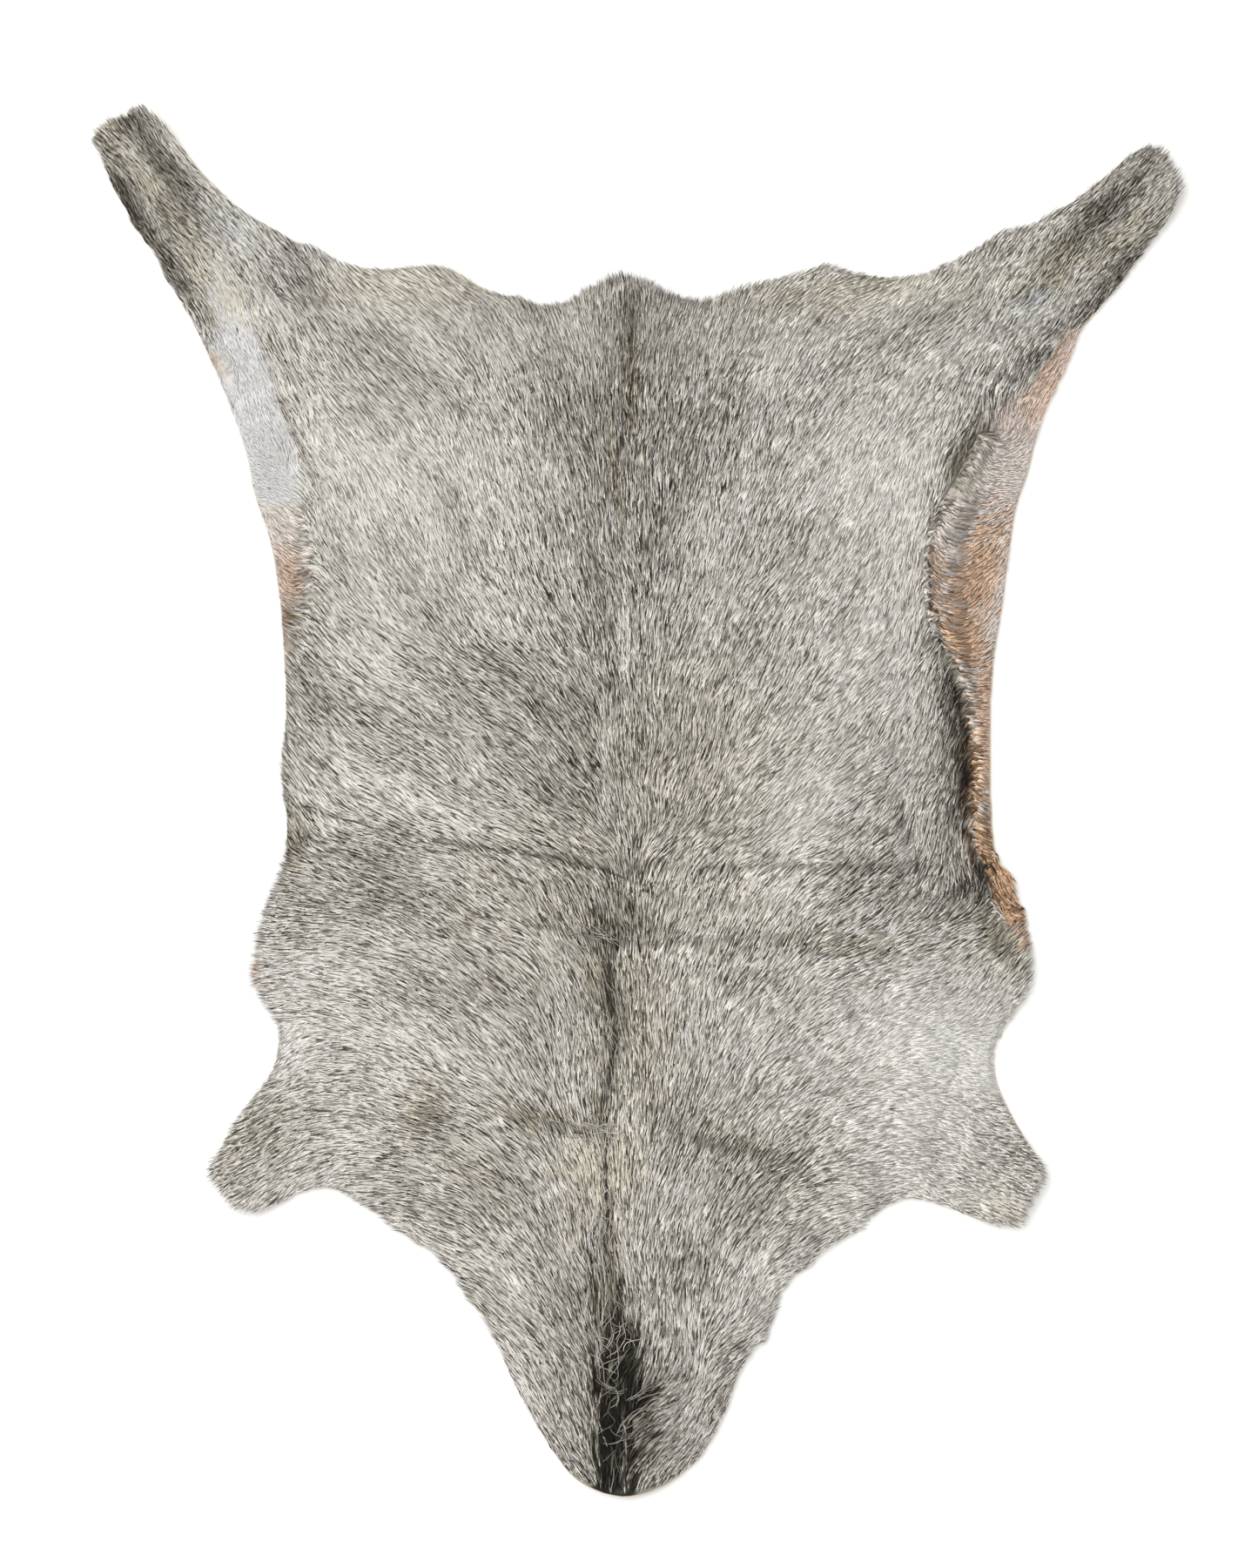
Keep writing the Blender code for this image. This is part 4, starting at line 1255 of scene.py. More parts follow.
def new_material(
    name: str,
    roughness: float,
    gloss: float,
) -> tuple[bpy.types.Material, bpy.types.NodeTree, bpy.types.Node]:
    """Make a material.

    Args:
        name: Its name.
        roughness: Roughness of its surface, from 0 to 1.
        gloss: Strength of its reflection, 0.5 for plain plastic.

    Returns:
        The material, its node tree and its shader.
    """
    material = bpy.data.materials.new(name)
    material.use_nodes = True
    shader = material.node_tree.nodes["Principled BSDF"]
    shader.inputs["Roughness"].default_value = roughness
    shader.inputs["Specular IOR Level"].default_value = gloss
    return material, material.node_tree, shader


@dataclass(frozen=True)
class HairFinish:
    """Goat hair: grizzled, dull, with a faint gloss along each hair.

    The palette's place is in the piece's own map, so each hair runs from a
    dark root to a pale middle and a charcoal or pale tip.
    """

    name: str
    roughness: float
    gloss: float

    def make(self) -> bpy.types.Material:
        """Build the hair's material."""
        material, tree, shader = new_material(self.name, self.roughness, self.gloss)
        place = add_node(tree, "ShaderNodeUVMap", uv_map=PALETTE)
        axes = add_node(tree, "ShaderNodeSeparateXYZ", Vector=place.outputs["UV"])
        light = add_node(tree, "ShaderNodeValToRGB", Fac=axes.outputs["X"])
        tint = add_node(tree, "ShaderNodeValToRGB", Fac=axes.outputs["Y"])
        fill_ramp(light, Palette.LIGHTNESS)
        fill_ramp(tint, Palette.TINT)
        colour = add_node(tree, "ShaderNodeMix", data_type="RGBA", blend_type="MULTIPLY")
        colour.inputs["Factor"].default_value = 1.0
        tree.links.new(light.outputs["Color"], colour.inputs[6])
        tree.links.new(tint.outputs["Color"], colour.inputs[7])
        tree.links.new(colour.outputs[2], shader.inputs["Base Color"])
        return material


@dataclass(frozen=True)
class SuedeFinish:
    """Tanned flesh side: matt suede, cream, with soft clouds and a fine nap."""

    name: str = "suede_flesh_side"
    pale: str = "#E3D8C5"
    deep: str = "#C9B497"
    cloud_mm: float = 70.0
    cloud_edges: tuple[float, float] = (0.34, 0.62)
    nap_mm: float = 1.6
    nap_strength: float = 0.35
    nap_depth_mm: float = 0.3
    roughness: float = 0.92
    gloss: float = 0.2

    def make(self) -> bpy.types.Material:
        """Build the suede's material."""
        material, tree, shader = new_material(self.name, self.roughness, self.gloss)
        place = add_node(tree, "ShaderNodeTexCoord")
        cloud = add_node(
            tree,
            "ShaderNodeTexNoise",
            Vector=place.outputs["Object"],
            Scale=1.0 / (self.cloud_mm * MM),
            Detail=5.0,
            Roughness=0.62,
        )
        nap = add_node(
            tree,
            "ShaderNodeTexNoise",
            Vector=place.outputs["Object"],
            Scale=1.0 / (self.nap_mm * MM),
            Detail=2.0,
        )
        ramp = add_node(tree, "ShaderNodeValToRGB", Fac=cloud.outputs["Fac"])
        fill_ramp(ramp, tuple(zip(self.cloud_edges, (self.deep, self.pale))))
        bump = add_node(
            tree,
            "ShaderNodeBump",
            Height=nap.outputs["Fac"],
            Strength=self.nap_strength,
            Distance=self.nap_depth_mm * MM,
        )
        tree.links.new(ramp.outputs["Color"], shader.inputs["Base Color"])
        tree.links.new(bump.outputs["Normal"], shader.inputs["Normal"])
        return material


def mesh_piece(
    name: str,
    places: Array,
    faces: Array,
    material: bpy.types.Material,
    palette: Array | None = None,
) -> bpy.types.Object:
    """Put arrays into a mesh object that rides on the hide's body.

    Args:
        name: The piece's name.
        places: Corners in mm, corners by axes.
        faces: Corner numbers, faces by three or four.
        material: Its material.
        palette: Palette place of each corner, or None.

    Returns:
        The new object.
    """
    mesh = bpy.data.meshes.new(name)
    sides = faces.shape[1]
    mesh.vertices.add(len(places))
    mesh.vertices.foreach_set("co", (places * MM).astype(np.float32).ravel())
    mesh.loops.add(faces.size)
    mesh.loops.foreach_set("vertex_index", faces.astype(np.int32).ravel())
    mesh.polygons.add(len(faces))
    starts = np.arange(0, faces.size, sides, dtype=np.int32)
    mesh.polygons.foreach_set("loop_start", starts)
    mesh.polygons.foreach_set("loop_total", np.full(len(faces), sides, dtype=np.int32))
    mesh.polygons.foreach_set("use_smooth", np.ones(len(faces), dtype=bool))
    if palette is not None:
        layer = mesh.uv_layers.new(name=PALETTE)
        layer.data.foreach_set("uv", palette[faces.ravel()].astype(np.float32).ravel())
    mesh.update(calc_edges=True)
    mesh.materials.append(material)
    piece = bpy.data.objects.new(name, mesh)
    bpy.context.scene.collection.objects.link(piece)
    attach(piece, "root")
    return piece


@dataclass
class RimmedSheet:
    """A closed sheet on a grid, its border points pulled onto the hide's rim.

    Attributes:
        relief: Maps of the solid.
        pitch: Spacing of the grid, mm.
        overhang: How far past the rim a point may lie at first, cells.
        rounds: How often corners are filled and border points moved.
        probe: Distance over which the slope of the distance map is read, mm.
        thinnest: Least thickness, mm.
    """

    relief: Relief
    pitch: float
    overhang: float = 0.45
    rounds: int = 3
    probe: float = 1.5
    thinnest: float = 0.35

    def cells(self, inset: Array, room: Array) -> Array:
        """Return which cells lie inside the rim, with no two meeting at a corner only."""
        near = room - inset > -self.overhang * self.pitch
        kept = near[:-1, :-1] & near[1:, :-1] & near[:-1, 1:] & near[1:, 1:]
        for _ in range(self.rounds):
            a, b = kept[:-1, :-1], kept[:-1, 1:]
            c, d = kept[1:, :-1], kept[1:, 1:]
            first = a & d & ~b & ~c
            second = b & c & ~a & ~d
            kept[:-1, 1:] |= first
            kept[:-1, :-1] |= second
        return kept

    def build(self, inset_of: Surface, low_of: Surface, high_of: Surface) -> tuple[Array, Array]:
        """Make the sheet's corners and faces.

        The upper and lower faces are functions of x and y on the grid. Points
        on the border move along the slope of the distance map until they lie
        on the rim.

        Args:
            inset_of: Distance inside the rim as a function of x and y.
            low_of: Height of the lower face as a function of x and y.
            high_of: Height of the upper face as a function of x and y.

        Returns:
            Corners in mm and faces of four corners.
        """
        fine = self.relief.grid
        columns = int(fine.columns * fine.pitch / self.pitch)
        rows = int(fine.rows * fine.pitch / self.pitch)
        grid = Grid(fine.low, self.pitch, rows, columns)
        x, y = grid.points()
        gap_at = self.relief.gap_at
        kept = self.cells(inset_of(x, y), gap_at(x, y))
        around = np.zeros((rows, columns), dtype=int)
        around[:-1, :-1] += kept
        around[1:, :-1] += kept
        around[:-1, 1:] += kept
        around[1:, 1:] += kept
        used = around > 0
        border = used & (around < 4)
        for _ in range(self.rounds):
            slope_x = gap_at(x + self.probe, y) - gap_at(x - self.probe, y)
            slope_y = gap_at(x, y + self.probe) - gap_at(x, y - self.probe)
            size = np.maximum(np.hypot(slope_x, slope_y), SMALL)
            move = np.clip(inset_of(x, y) - gap_at(x, y), -self.pitch, self.pitch)
            x = np.where(border, x + move * slope_x / size, x)
            y = np.where(border, y + move * slope_y / size, y)
        number = np.full((rows, columns), -1)
        number[used] = np.arange(used.sum())
        px, py = x[used], y[used]
        low = low_of(px, py)
        high = np.maximum(high_of(px, py), low + self.thinnest)
        count = len(px)
        places = np.vstack([
            np.column_stack([px, py, high]),
            np.column_stack([px, py, low]),
        ])
        a, b = number[:-1, :-1][kept], number[:-1, 1:][kept]
        c, d = number[1:, 1:][kept], number[1:, :-1][kept]
        top = np.column_stack([a, b, c, d])
        under = np.column_stack([d, c, b, a]) + count
        walls = self._walls(kept, number, count)
        return places, np.vstack([top, under, walls])

    def _walls(self, kept: Array, number: Array, count: int) -> Array:
        """Join the two faces along every cell side that has a cell on one side only."""
        wide = np.pad(kept, 1)
        middle = wide[1:-1, 1:-1]
        walls = []
        sides = (
            (wide[:-2, 1:-1], (0, 0), (0, 1)),
            (wide[1:-1, 2:], (0, 1), (1, 1)),
            (wide[2:, 1:-1], (1, 1), (1, 0)),
            (wide[1:-1, :-2], (1, 0), (0, 0)),
        )
        rows, columns = kept.shape
        for beside, first, second in sides:
            r, c = np.nonzero(middle & ~beside)
            a = number[r + first[0], c + first[1]]
            b = number[r + second[0], c + second[1]]
            walls.append(np.column_stack([a, a + count, b + count, b]))
        return np.vstack(walls)


@dataclass
class Skin:
    """The tanned skin itself: a thin sheet on the solid's lower face."""

    relief: Relief
    thickness: float = 1.5
    pitch: float = 9.0
    fringe_share: float = 0.75
    clean_inset: float = 0.3

    def inset(self, x: Array, y: Array) -> Array:
        """Return how far the cut edge lies inside the hair's outline, mm."""
        return self.clean_inset + self.fringe_share * fringe_reach(x, y)

    def low(self, x: Array, y: Array) -> Array:
        """Return the flesh side's height: that of the solid's lower face."""
        return self.relief.bottom_at(x, y)

    def high(self, x: Array, y: Array) -> Array:
        """Return the grain side's height: a skin's thickness over the flesh side."""
        return self.low(x, y) + self.thickness

    def build(self) -> bpy.types.Object:
        """Make the sheet and let it stand for the solid."""
        sheet = RimmedSheet(self.relief, self.pitch)
        places, faces = sheet.build(self.inset, self.low, self.high)
        piece = mesh_piece("tanned_skin", places, faces, SuedeFinish().make())
        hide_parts(self.relief.node)
        return piece


@dataclass
class Underwool:
    """The dense mat under the hair, a closed form on the solid's own relief.

    Attributes:
        depth: How far the mat lies under the solid's upper face, mm.
        buried: How far it starts above the solid's lower face, mm.
        clean_inset: How far it ends inside a rim with no fringe, mm.
        fringe_share: How much of a fringe's reach is added to that.
        darker: Painted shade under the hair: how much darker the mat is than the hair, away from the
            rim.
        calm_share: How much of that a calm part leaves out.
    """

    relief: Relief
    shades: Shades
    hair: bpy.types.Material
    pitch: float = 6.0
    depth: float = 1.0
    buried: float = 1.2
    clean_inset: float = 1.0
    fringe_share: float = 0.9
    darker: float = 0.24
    calm_share: float = 0.8
    rim_fade: float = 8.0
    span: tuple[float, float] = (0.02, 0.98)

    def inset(self, x: Array, y: Array) -> Array:
        """Return how far the mat ends inside the hair's outline, mm."""
        return self.clean_inset + self.fringe_share * fringe_reach(x, y)

    def low(self, x: Array, y: Array) -> Array:
        """Return the mat's lower face, a little inside the skin."""
        return self.relief.bottom_at(x, y) + self.buried

    def high(self, x: Array, y: Array) -> Array:
        """Return the mat's upper face, just under the solid's upper face."""
        return self.relief.top_at(x, y) - self.depth

    def build(self) -> bpy.types.Object:
        """Make the mat, coloured a little darker than the hair over it as painted shade."""
        sheet = RimmedSheet(self.relief, self.pitch)
        places, faces = sheet.build(self.inset, self.low, self.high)
        x, y = places[:, 0], places[:, 1]
        light = self.shades.read("light", x, y)
        plain = self.shades.read("plain", x, y)
        tint = plain + self.shades.read("tinted", x, y) * (self.shades.read("tint", x, y) - plain)
        rim = smooth(1.0 - self.relief.gap_at(x, y) / self.rim_fade)
        calm = self.shades.read("calm", x, y)
        # painted shade under the hair, fading near the rim and where calm
        light = light - self.darker * (1.0 - rim) * (1.0 - self.calm_share * calm)
        palette = np.clip(np.column_stack([light, tint]), *self.span)
        piece = mesh_piece("underwool", places, faces, self.hair, palette)
        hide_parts(self.relief.node)
        return piece


@dataclass(frozen=True)
class Grizzle:
    """How light and dark hairs mix: a lock's lightness from the streak it lies on.

    A streak of 0 is the coat's own lightness plus pale. Above it gain times
    the streak is added, and where the streak falls below the gap's start the
    hair darkens towards charcoal, by gap_depth at the most: partly dark hair,
    partly painted shade in the gaps between clumps. The palest hair is held
    back above the knee.

    Attributes:
        own: Spread of what each lock adds to its streak.
        singles: Share of single dark hairs, and its gain with strokes.
        single_light: Their lightness and its spread.
        dark_tip: How much darker a dark tip is, and the share of such tips.
        warm_dark: How much browner a warm hair gets as it darkens.
        warm_span: Lightness it starts from and the most that counts.
        root: How much darker the root is.
        under: Painted shade of the tucked side: how much darker it is, at least and where lively.
        over: Painted highlight of the raised side: how much lighter it is where lively.
        near: Tint between the two sides, so that no face is without area.
    """

    own: float = 0.20
    pale: float = 0.14
    gain: float = 0.24
    gain_span: tuple[float, float] = (-0.5, 1.5)
    gap_start: float = -0.05
    gap_slope: float = 0.85
    gap_depth: float = 0.60
    knee: float = 0.80
    headroom: float = 0.19
    singles: Growth = Growth(0.001, 0.12)
    single_light: tuple[float, float] = (0.26, 0.06)
    dark_tip: tuple[float, float] = (0.12, 0.2)
    tint_spread: float = 0.02
    warm_dark: float = 0.30
    warm_span: tuple[float, float] = (0.62, 0.35)
    warm_from: float = Tint.ROSE.value
    root: float = 0.06
    under: tuple[float, float] = (0.03, 0.07)
    over: float = 0.04
    near: float = 0.004


class Roots(NamedTuple):
    """Where locks stand, mm in the frame, and how each one turns, radians.

    Bend is the turn between a lock's two legs, and stray its turn away from
    the comb's direction.
    """

    x: Array
    y: Array
    bend: Array
    stray: Array


@dataclass
class Coat:
    """Locks of hair laid along the comb's strokes.

    A lock is a slim closed form of four faces: a point at the root, a point
    on either side where it is widest, and a point at the tip. All follow the
    hair's direction field, so the lock bends with the coat. One side is
    lower, tucked under the lock beside it, and painted darker as its shade;
    the other side is raised and painted lighter as a highlight.

    Attributes:
        jitter: How far a root strays from its place, over the pitch.
        root_inset: Roots stay this far inside a plain rim, tips this far past it, mm.
        fringe_share: How much of a fringe's reach is added to both.
        share_step: Most that a lock's share may be above the last that fitted.
        calm_less: How much less long and wide a lock is where all is calm.
        ring_place: Where along its length a lock is widest.
        look_ahead: Where past that its tip's direction is read.
        sink: How far root, ring and tip lie under the solid's top, mm.
        clear: Least height of a tip, and of a root over that, mm.
        bulge: Least height of the ring over the line from root to tip, mm.
        tilt: How far each side is raised or lowered, over the width.
    """

    relief: Relief
    comb: Comb
    shades: Shades
    hair: bpy.types.Material
    grizzle: Grizzle = Grizzle()
    pitch: float = 1.46
    row_share: float = 0.9
    jitter: float = 0.45
    root_inset: float = 0.5
    fringe_share: float = 0.75
    reach_most: float = 1.3
    reach_power: float = 1.5
    shares: tuple[float, ...] = (0.25, 0.4, 0.55, 0.7, 0.85, 1.0)
    share_step: float = 0.26
    length: Growth = Growth(7.6, 0.85)
    length_spread: tuple[float, float] = (0.75, 1.3)
    shortest: float = 2.5
    width: Growth = Growth(0.50, 0.037)
    width_spread: tuple[float, float] = (0.75, 1.25)
    calm_less: float = 0.2
    bend: float = 0.10
    stray: float = 0.05
    ring_place: float = 0.40
    look_ahead: float = 0.3
    lift_start: float = 0.45
    lift_gain: float = 0.05
    lift_spread: float = 0.2
    sink: tuple[float, float, float] = (1.5, 0.2, 0.35)
    ring_lift: Growth = Growth(0.15, 0.07)
    tip_lift: Growth = Growth(0.2, 0.13)
    clear: float = 0.3
    bulge: float = 0.2
    tilt: float = 0.2
    seed: int = 21
    bands: tuple[str, ...] = (
        "coat_neck", "coat_shoulders", "coat_withers", "coat_loin", "coat_back", "coat_rump",
    )

    def scatter(self, rng: np.random.Generator) -> tuple[Array, Array]:
        """Scatter roots on a jittered grid inside the skin's edge."""
        fine = self.relief.grid
        columns = int(fine.columns * fine.pitch / self.pitch)
        rows = int(fine.rows * fine.pitch / (self.pitch * self.row_share))
        across = np.arange(columns) * self.pitch
        x, y = np.meshgrid(across, np.arange(rows) * self.pitch * self.row_share)
        x[1::2] += 0.5 * self.pitch
        far = self.jitter
        x = (x + fine.low[0] + rng.uniform(-far, far, x.shape) * self.pitch).ravel()
        y = (y + fine.low[1] + rng.uniform(-far, far, y.shape) * self.pitch).ravel()
        inset = self.root_inset + self.fringe_share * fringe_reach(x, y)
        kept = self.relief.gap_at(x, y) > inset
        return x[kept], y[kept]

    def paths(self, roots: Roots, length: Array) -> tuple[Array, Array, Array, Array]:
        """Follow the comb from each root to its ring and its tip.

        Args:
            roots: Where the locks stand and how they turn.
            length: Length of each lock, mm.

        Returns:
            x and y of the ring, and x and y of the tip.
        """
        first = self.comb.at(roots.x, roots.y) + roots.stray
        rx = roots.x + self.ring_place * length * np.cos(first)
        ry = roots.y + self.ring_place * length * np.sin(first)
        mid_x = rx + self.look_ahead * length * np.cos(first)
        mid_y = ry + self.look_ahead * length * np.sin(first)
        second = self.comb.at(mid_x, mid_y) + roots.stray + roots.bend
        tx = rx + (1.0 - self.ring_place) * length * np.cos(second)
        ty = ry + (1.0 - self.ring_place) * length * np.sin(second)
        return rx, ry, tx, ty

    def trimmed(self, roots: Roots, length: Array, reach: Array) -> Array:
        """Shorten each lock until its tip is within its reach past the rim.

        Args:
            roots: Where the locks stand and how they turn.
            length: Length of each lock, mm.
            reach: How far past the rim each tip may lie, mm.

        Returns:
            The length that fits, or 0.
        """
        best = np.zeros_like(length)
        heed = np.random.default_rng(self.seed + 2).random(len(length))
        for share in self.shares:
            _, _, tx, ty = self.paths(roots, length * share)
            ok = self.relief.gap_at(tx, ty) > -reach
            ok &= self.shades.grid.sample(self.shades.stop, tx, ty) <= heed
            best = np.where(ok & (best >= share - self.share_step), share, best)
        return length * best

    def build(self) -> list[bpy.types.Object]:
        """Make every lock and join them band by band up the hide."""
        rng = np.random.default_rng(self.seed)
        x, y = self.scatter(rng)
        count = len(x)
        depth = self.relief.top_at(x, y) - self.relief.bottom_at(x, y)
        calm = self.shades.read("calm", x, y)
        length = self.length.at(depth) * rng.uniform(*self.length_spread, count)
        length = length * (1.0 - self.calm_less * calm)
        bend = rng.normal(0.0, self.bend, count)
        stray = rng.normal(0.0, self.stray, count)
        most = rng.uniform(0.0, self.reach_most, count) ** self.reach_power
        reach = self.root_inset + self.fringe_share * fringe_reach(x, y) * most
        length = self.trimmed(Roots(x, y, bend, stray), length, reach)
        kept = length > self.shortest
        roots = Roots(x[kept], y[kept], bend[kept], stray[kept])
        depth = depth[kept]
        rx, ry, tx, ty = self.paths(roots, length[kept])
        all_x = np.stack([roots.x, rx, tx])
        all_y = np.stack([roots.y, ry, ty])
        places = self._corners(rng, depth, all_x, all_y)
        palette = self._colours(rng, all_x, all_y)
        order = np.argsort(roots.y, kind="stable")
        pieces = []
        for name, part in zip(self.bands, np.array_split(order, len(self.bands))):
            pieces.append(self._join(name, places[part], palette[part]))
        return pieces

    def _corners(self, rng: np.random.Generator, depth: Array, x: Array, y: Array) -> Array:
        """Place root, sides and tip of every lock.

        Heights are the solid's top less the sink plus the lift, kept above the
        skin, and the ring bulges over the straight line from root to tip.

        Args:
            rng: Source of the hair's own differences.
            depth: The coat's depth at each root, mm.
            x: Roots, rings and tips, three by locks, mm across in the frame.
            y: The same along.

        Returns:
            Corners in mm, locks by corners by axes.
        """
        shades = self.shades
        count = len(depth)
        calm = shades.read("calm", x[1], y[1])
        width = self.width.at(depth) * rng.uniform(*self.width_spread, count)
        width = width * (1.0 - self.calm_less * calm)
        streak = shades.fine.sample(shades.streak, x[1], y[1])
        lift = self.lift_start + self.lift_gain * streak + rng.normal(0.0, self.lift_spread, count)
        lift = smooth(lift)
        top = self.relief.top_at(x, y)
        root_z = top[0] - self.sink[0]
        ring_z = top[1] - self.sink[1] + self.ring_lift.at(depth) * lift
        tip_z = top[2] - self.sink[2] + self.tip_lift.at(depth) * lift
        floor = self.relief.bottom_at(x[0], y[0]) + self.clear
        ring_z -= shades.grid.sample(shades.sunk, x[1], y[1])
        tip_z -= shades.grid.sample(shades.sunk, x[2], y[2])
        root_z = np.maximum(root_z, floor + self.clear)
        tip_z = np.maximum(tip_z, floor)
        line_z = root_z + self.ring_place * (tip_z - root_z)
        tilt = self.tilt * width
        ring_z = np.maximum(ring_z, line_z + self.bulge + tilt)
        aside = np.arctan2(y[1] - y[0], x[1] - x[0]) + 0.5 * math.pi
        side_x = 0.5 * width * np.cos(aside)
        side_y = 0.5 * width * np.sin(aside)
        return np.stack([
            np.column_stack([x[0], y[0], root_z]),
            np.column_stack([x[1] + side_x, y[1] + side_y, ring_z - tilt]),
            np.column_stack([x[1] - side_x, y[1] - side_y, ring_z + tilt]),
            np.column_stack([x[2], y[2], tip_z]),
        ], axis=1)

    def _colours(self, rng: np.random.Generator, x: Array, y: Array) -> Array:
        """Palette places of root, sides and tip of every lock.

        Each part of a lock takes the coat's lightness where it lies, so that
        locks on a pale streak are pale and those in a gap charcoal, partly dark
        hair and partly painted shade between clumps. To this every lock adds a
        little of its own.

        Args:
            rng: Source of the hair's own differences.
            x: Roots, rings and tips, three by locks, mm across in the frame.
            y: The same along.

        Returns:
            Lightness and tint, locks by corners by two.
        """
        shades = self.shades
        mix = self.grizzle
        count = x.shape[1]
        lively = 1.0 - shades.read("calm", x, y)
        streak = shades.fine.sample(shades.streak, x, y) + rng.normal(0.0, mix.own, count)
        # charcoal in the gaps: partly dark hair, partly painted shade between clumps
        dark = np.clip(mix.gap_start - mix.gap_slope * streak, 0.0, 1.0)
        bright = mix.pale + mix.gain * np.clip(streak, *mix.gain_span) - mix.gap_depth * dark
        shade = shades.read("light", x, y) + shades.grid.sample(shades.mottle, x, y)
        shade = shade + bright * lively
        held = mix.knee + mix.headroom * np.tanh((shade - mix.knee) / mix.headroom)
        shade = np.minimum(shade, held)
        single = rng.random(count) < mix.singles.at(shades.read("strokes", x[1], y[1]))
        shade = np.where(single, np.minimum(shade, rng.normal(*mix.single_light, count)), shade)
        root, ring, tip = shade
        tip = tip - mix.dark_tip[0] * (rng.random(count) < mix.dark_tip[1]) * lively[2]
        picked = rng.random(count) < shades.read("tinted", x[1], y[1])
        tint = np.where(picked, shades.read("tint", x[1], y[1]), shades.read("plain", x[1], y[1]))
        tint = tint + rng.normal(0.0, mix.tint_spread, count)
        darker = np.clip(mix.warm_span[0] - ring, 0.0, mix.warm_span[1])
        tint = tint + mix.warm_dark * darker * (tint > mix.warm_from)
        # painted shade on the tucked side, painted highlight on the raised side
        under = ring - mix.under[0] - mix.under[1] * lively[1]
        light = np.stack([root - mix.root, under, ring + mix.over * lively[1], tip], axis=1)
        warm = np.stack([tint, tint + mix.near, tint - mix.near, tint], axis=1)
        return np.clip(np.stack([light, warm], axis=2), *Palette.SPAN)

    def _join(self, name: str, places: Array, palette: Array) -> bpy.types.Object:
        """Join locks into one mesh: two faces above and two below for each."""
        one = np.array([(0, 2, 1), (3, 1, 2), (0, 1, 3), (0, 3, 2)])
        base = 4 * np.arange(len(places))
        faces = (one[None, :, :] + base[:, None, None]).reshape(-1, 3)
        return mesh_piece(name, places.reshape(-1, 3), faces, self.hair, palette.reshape(-1, 2))


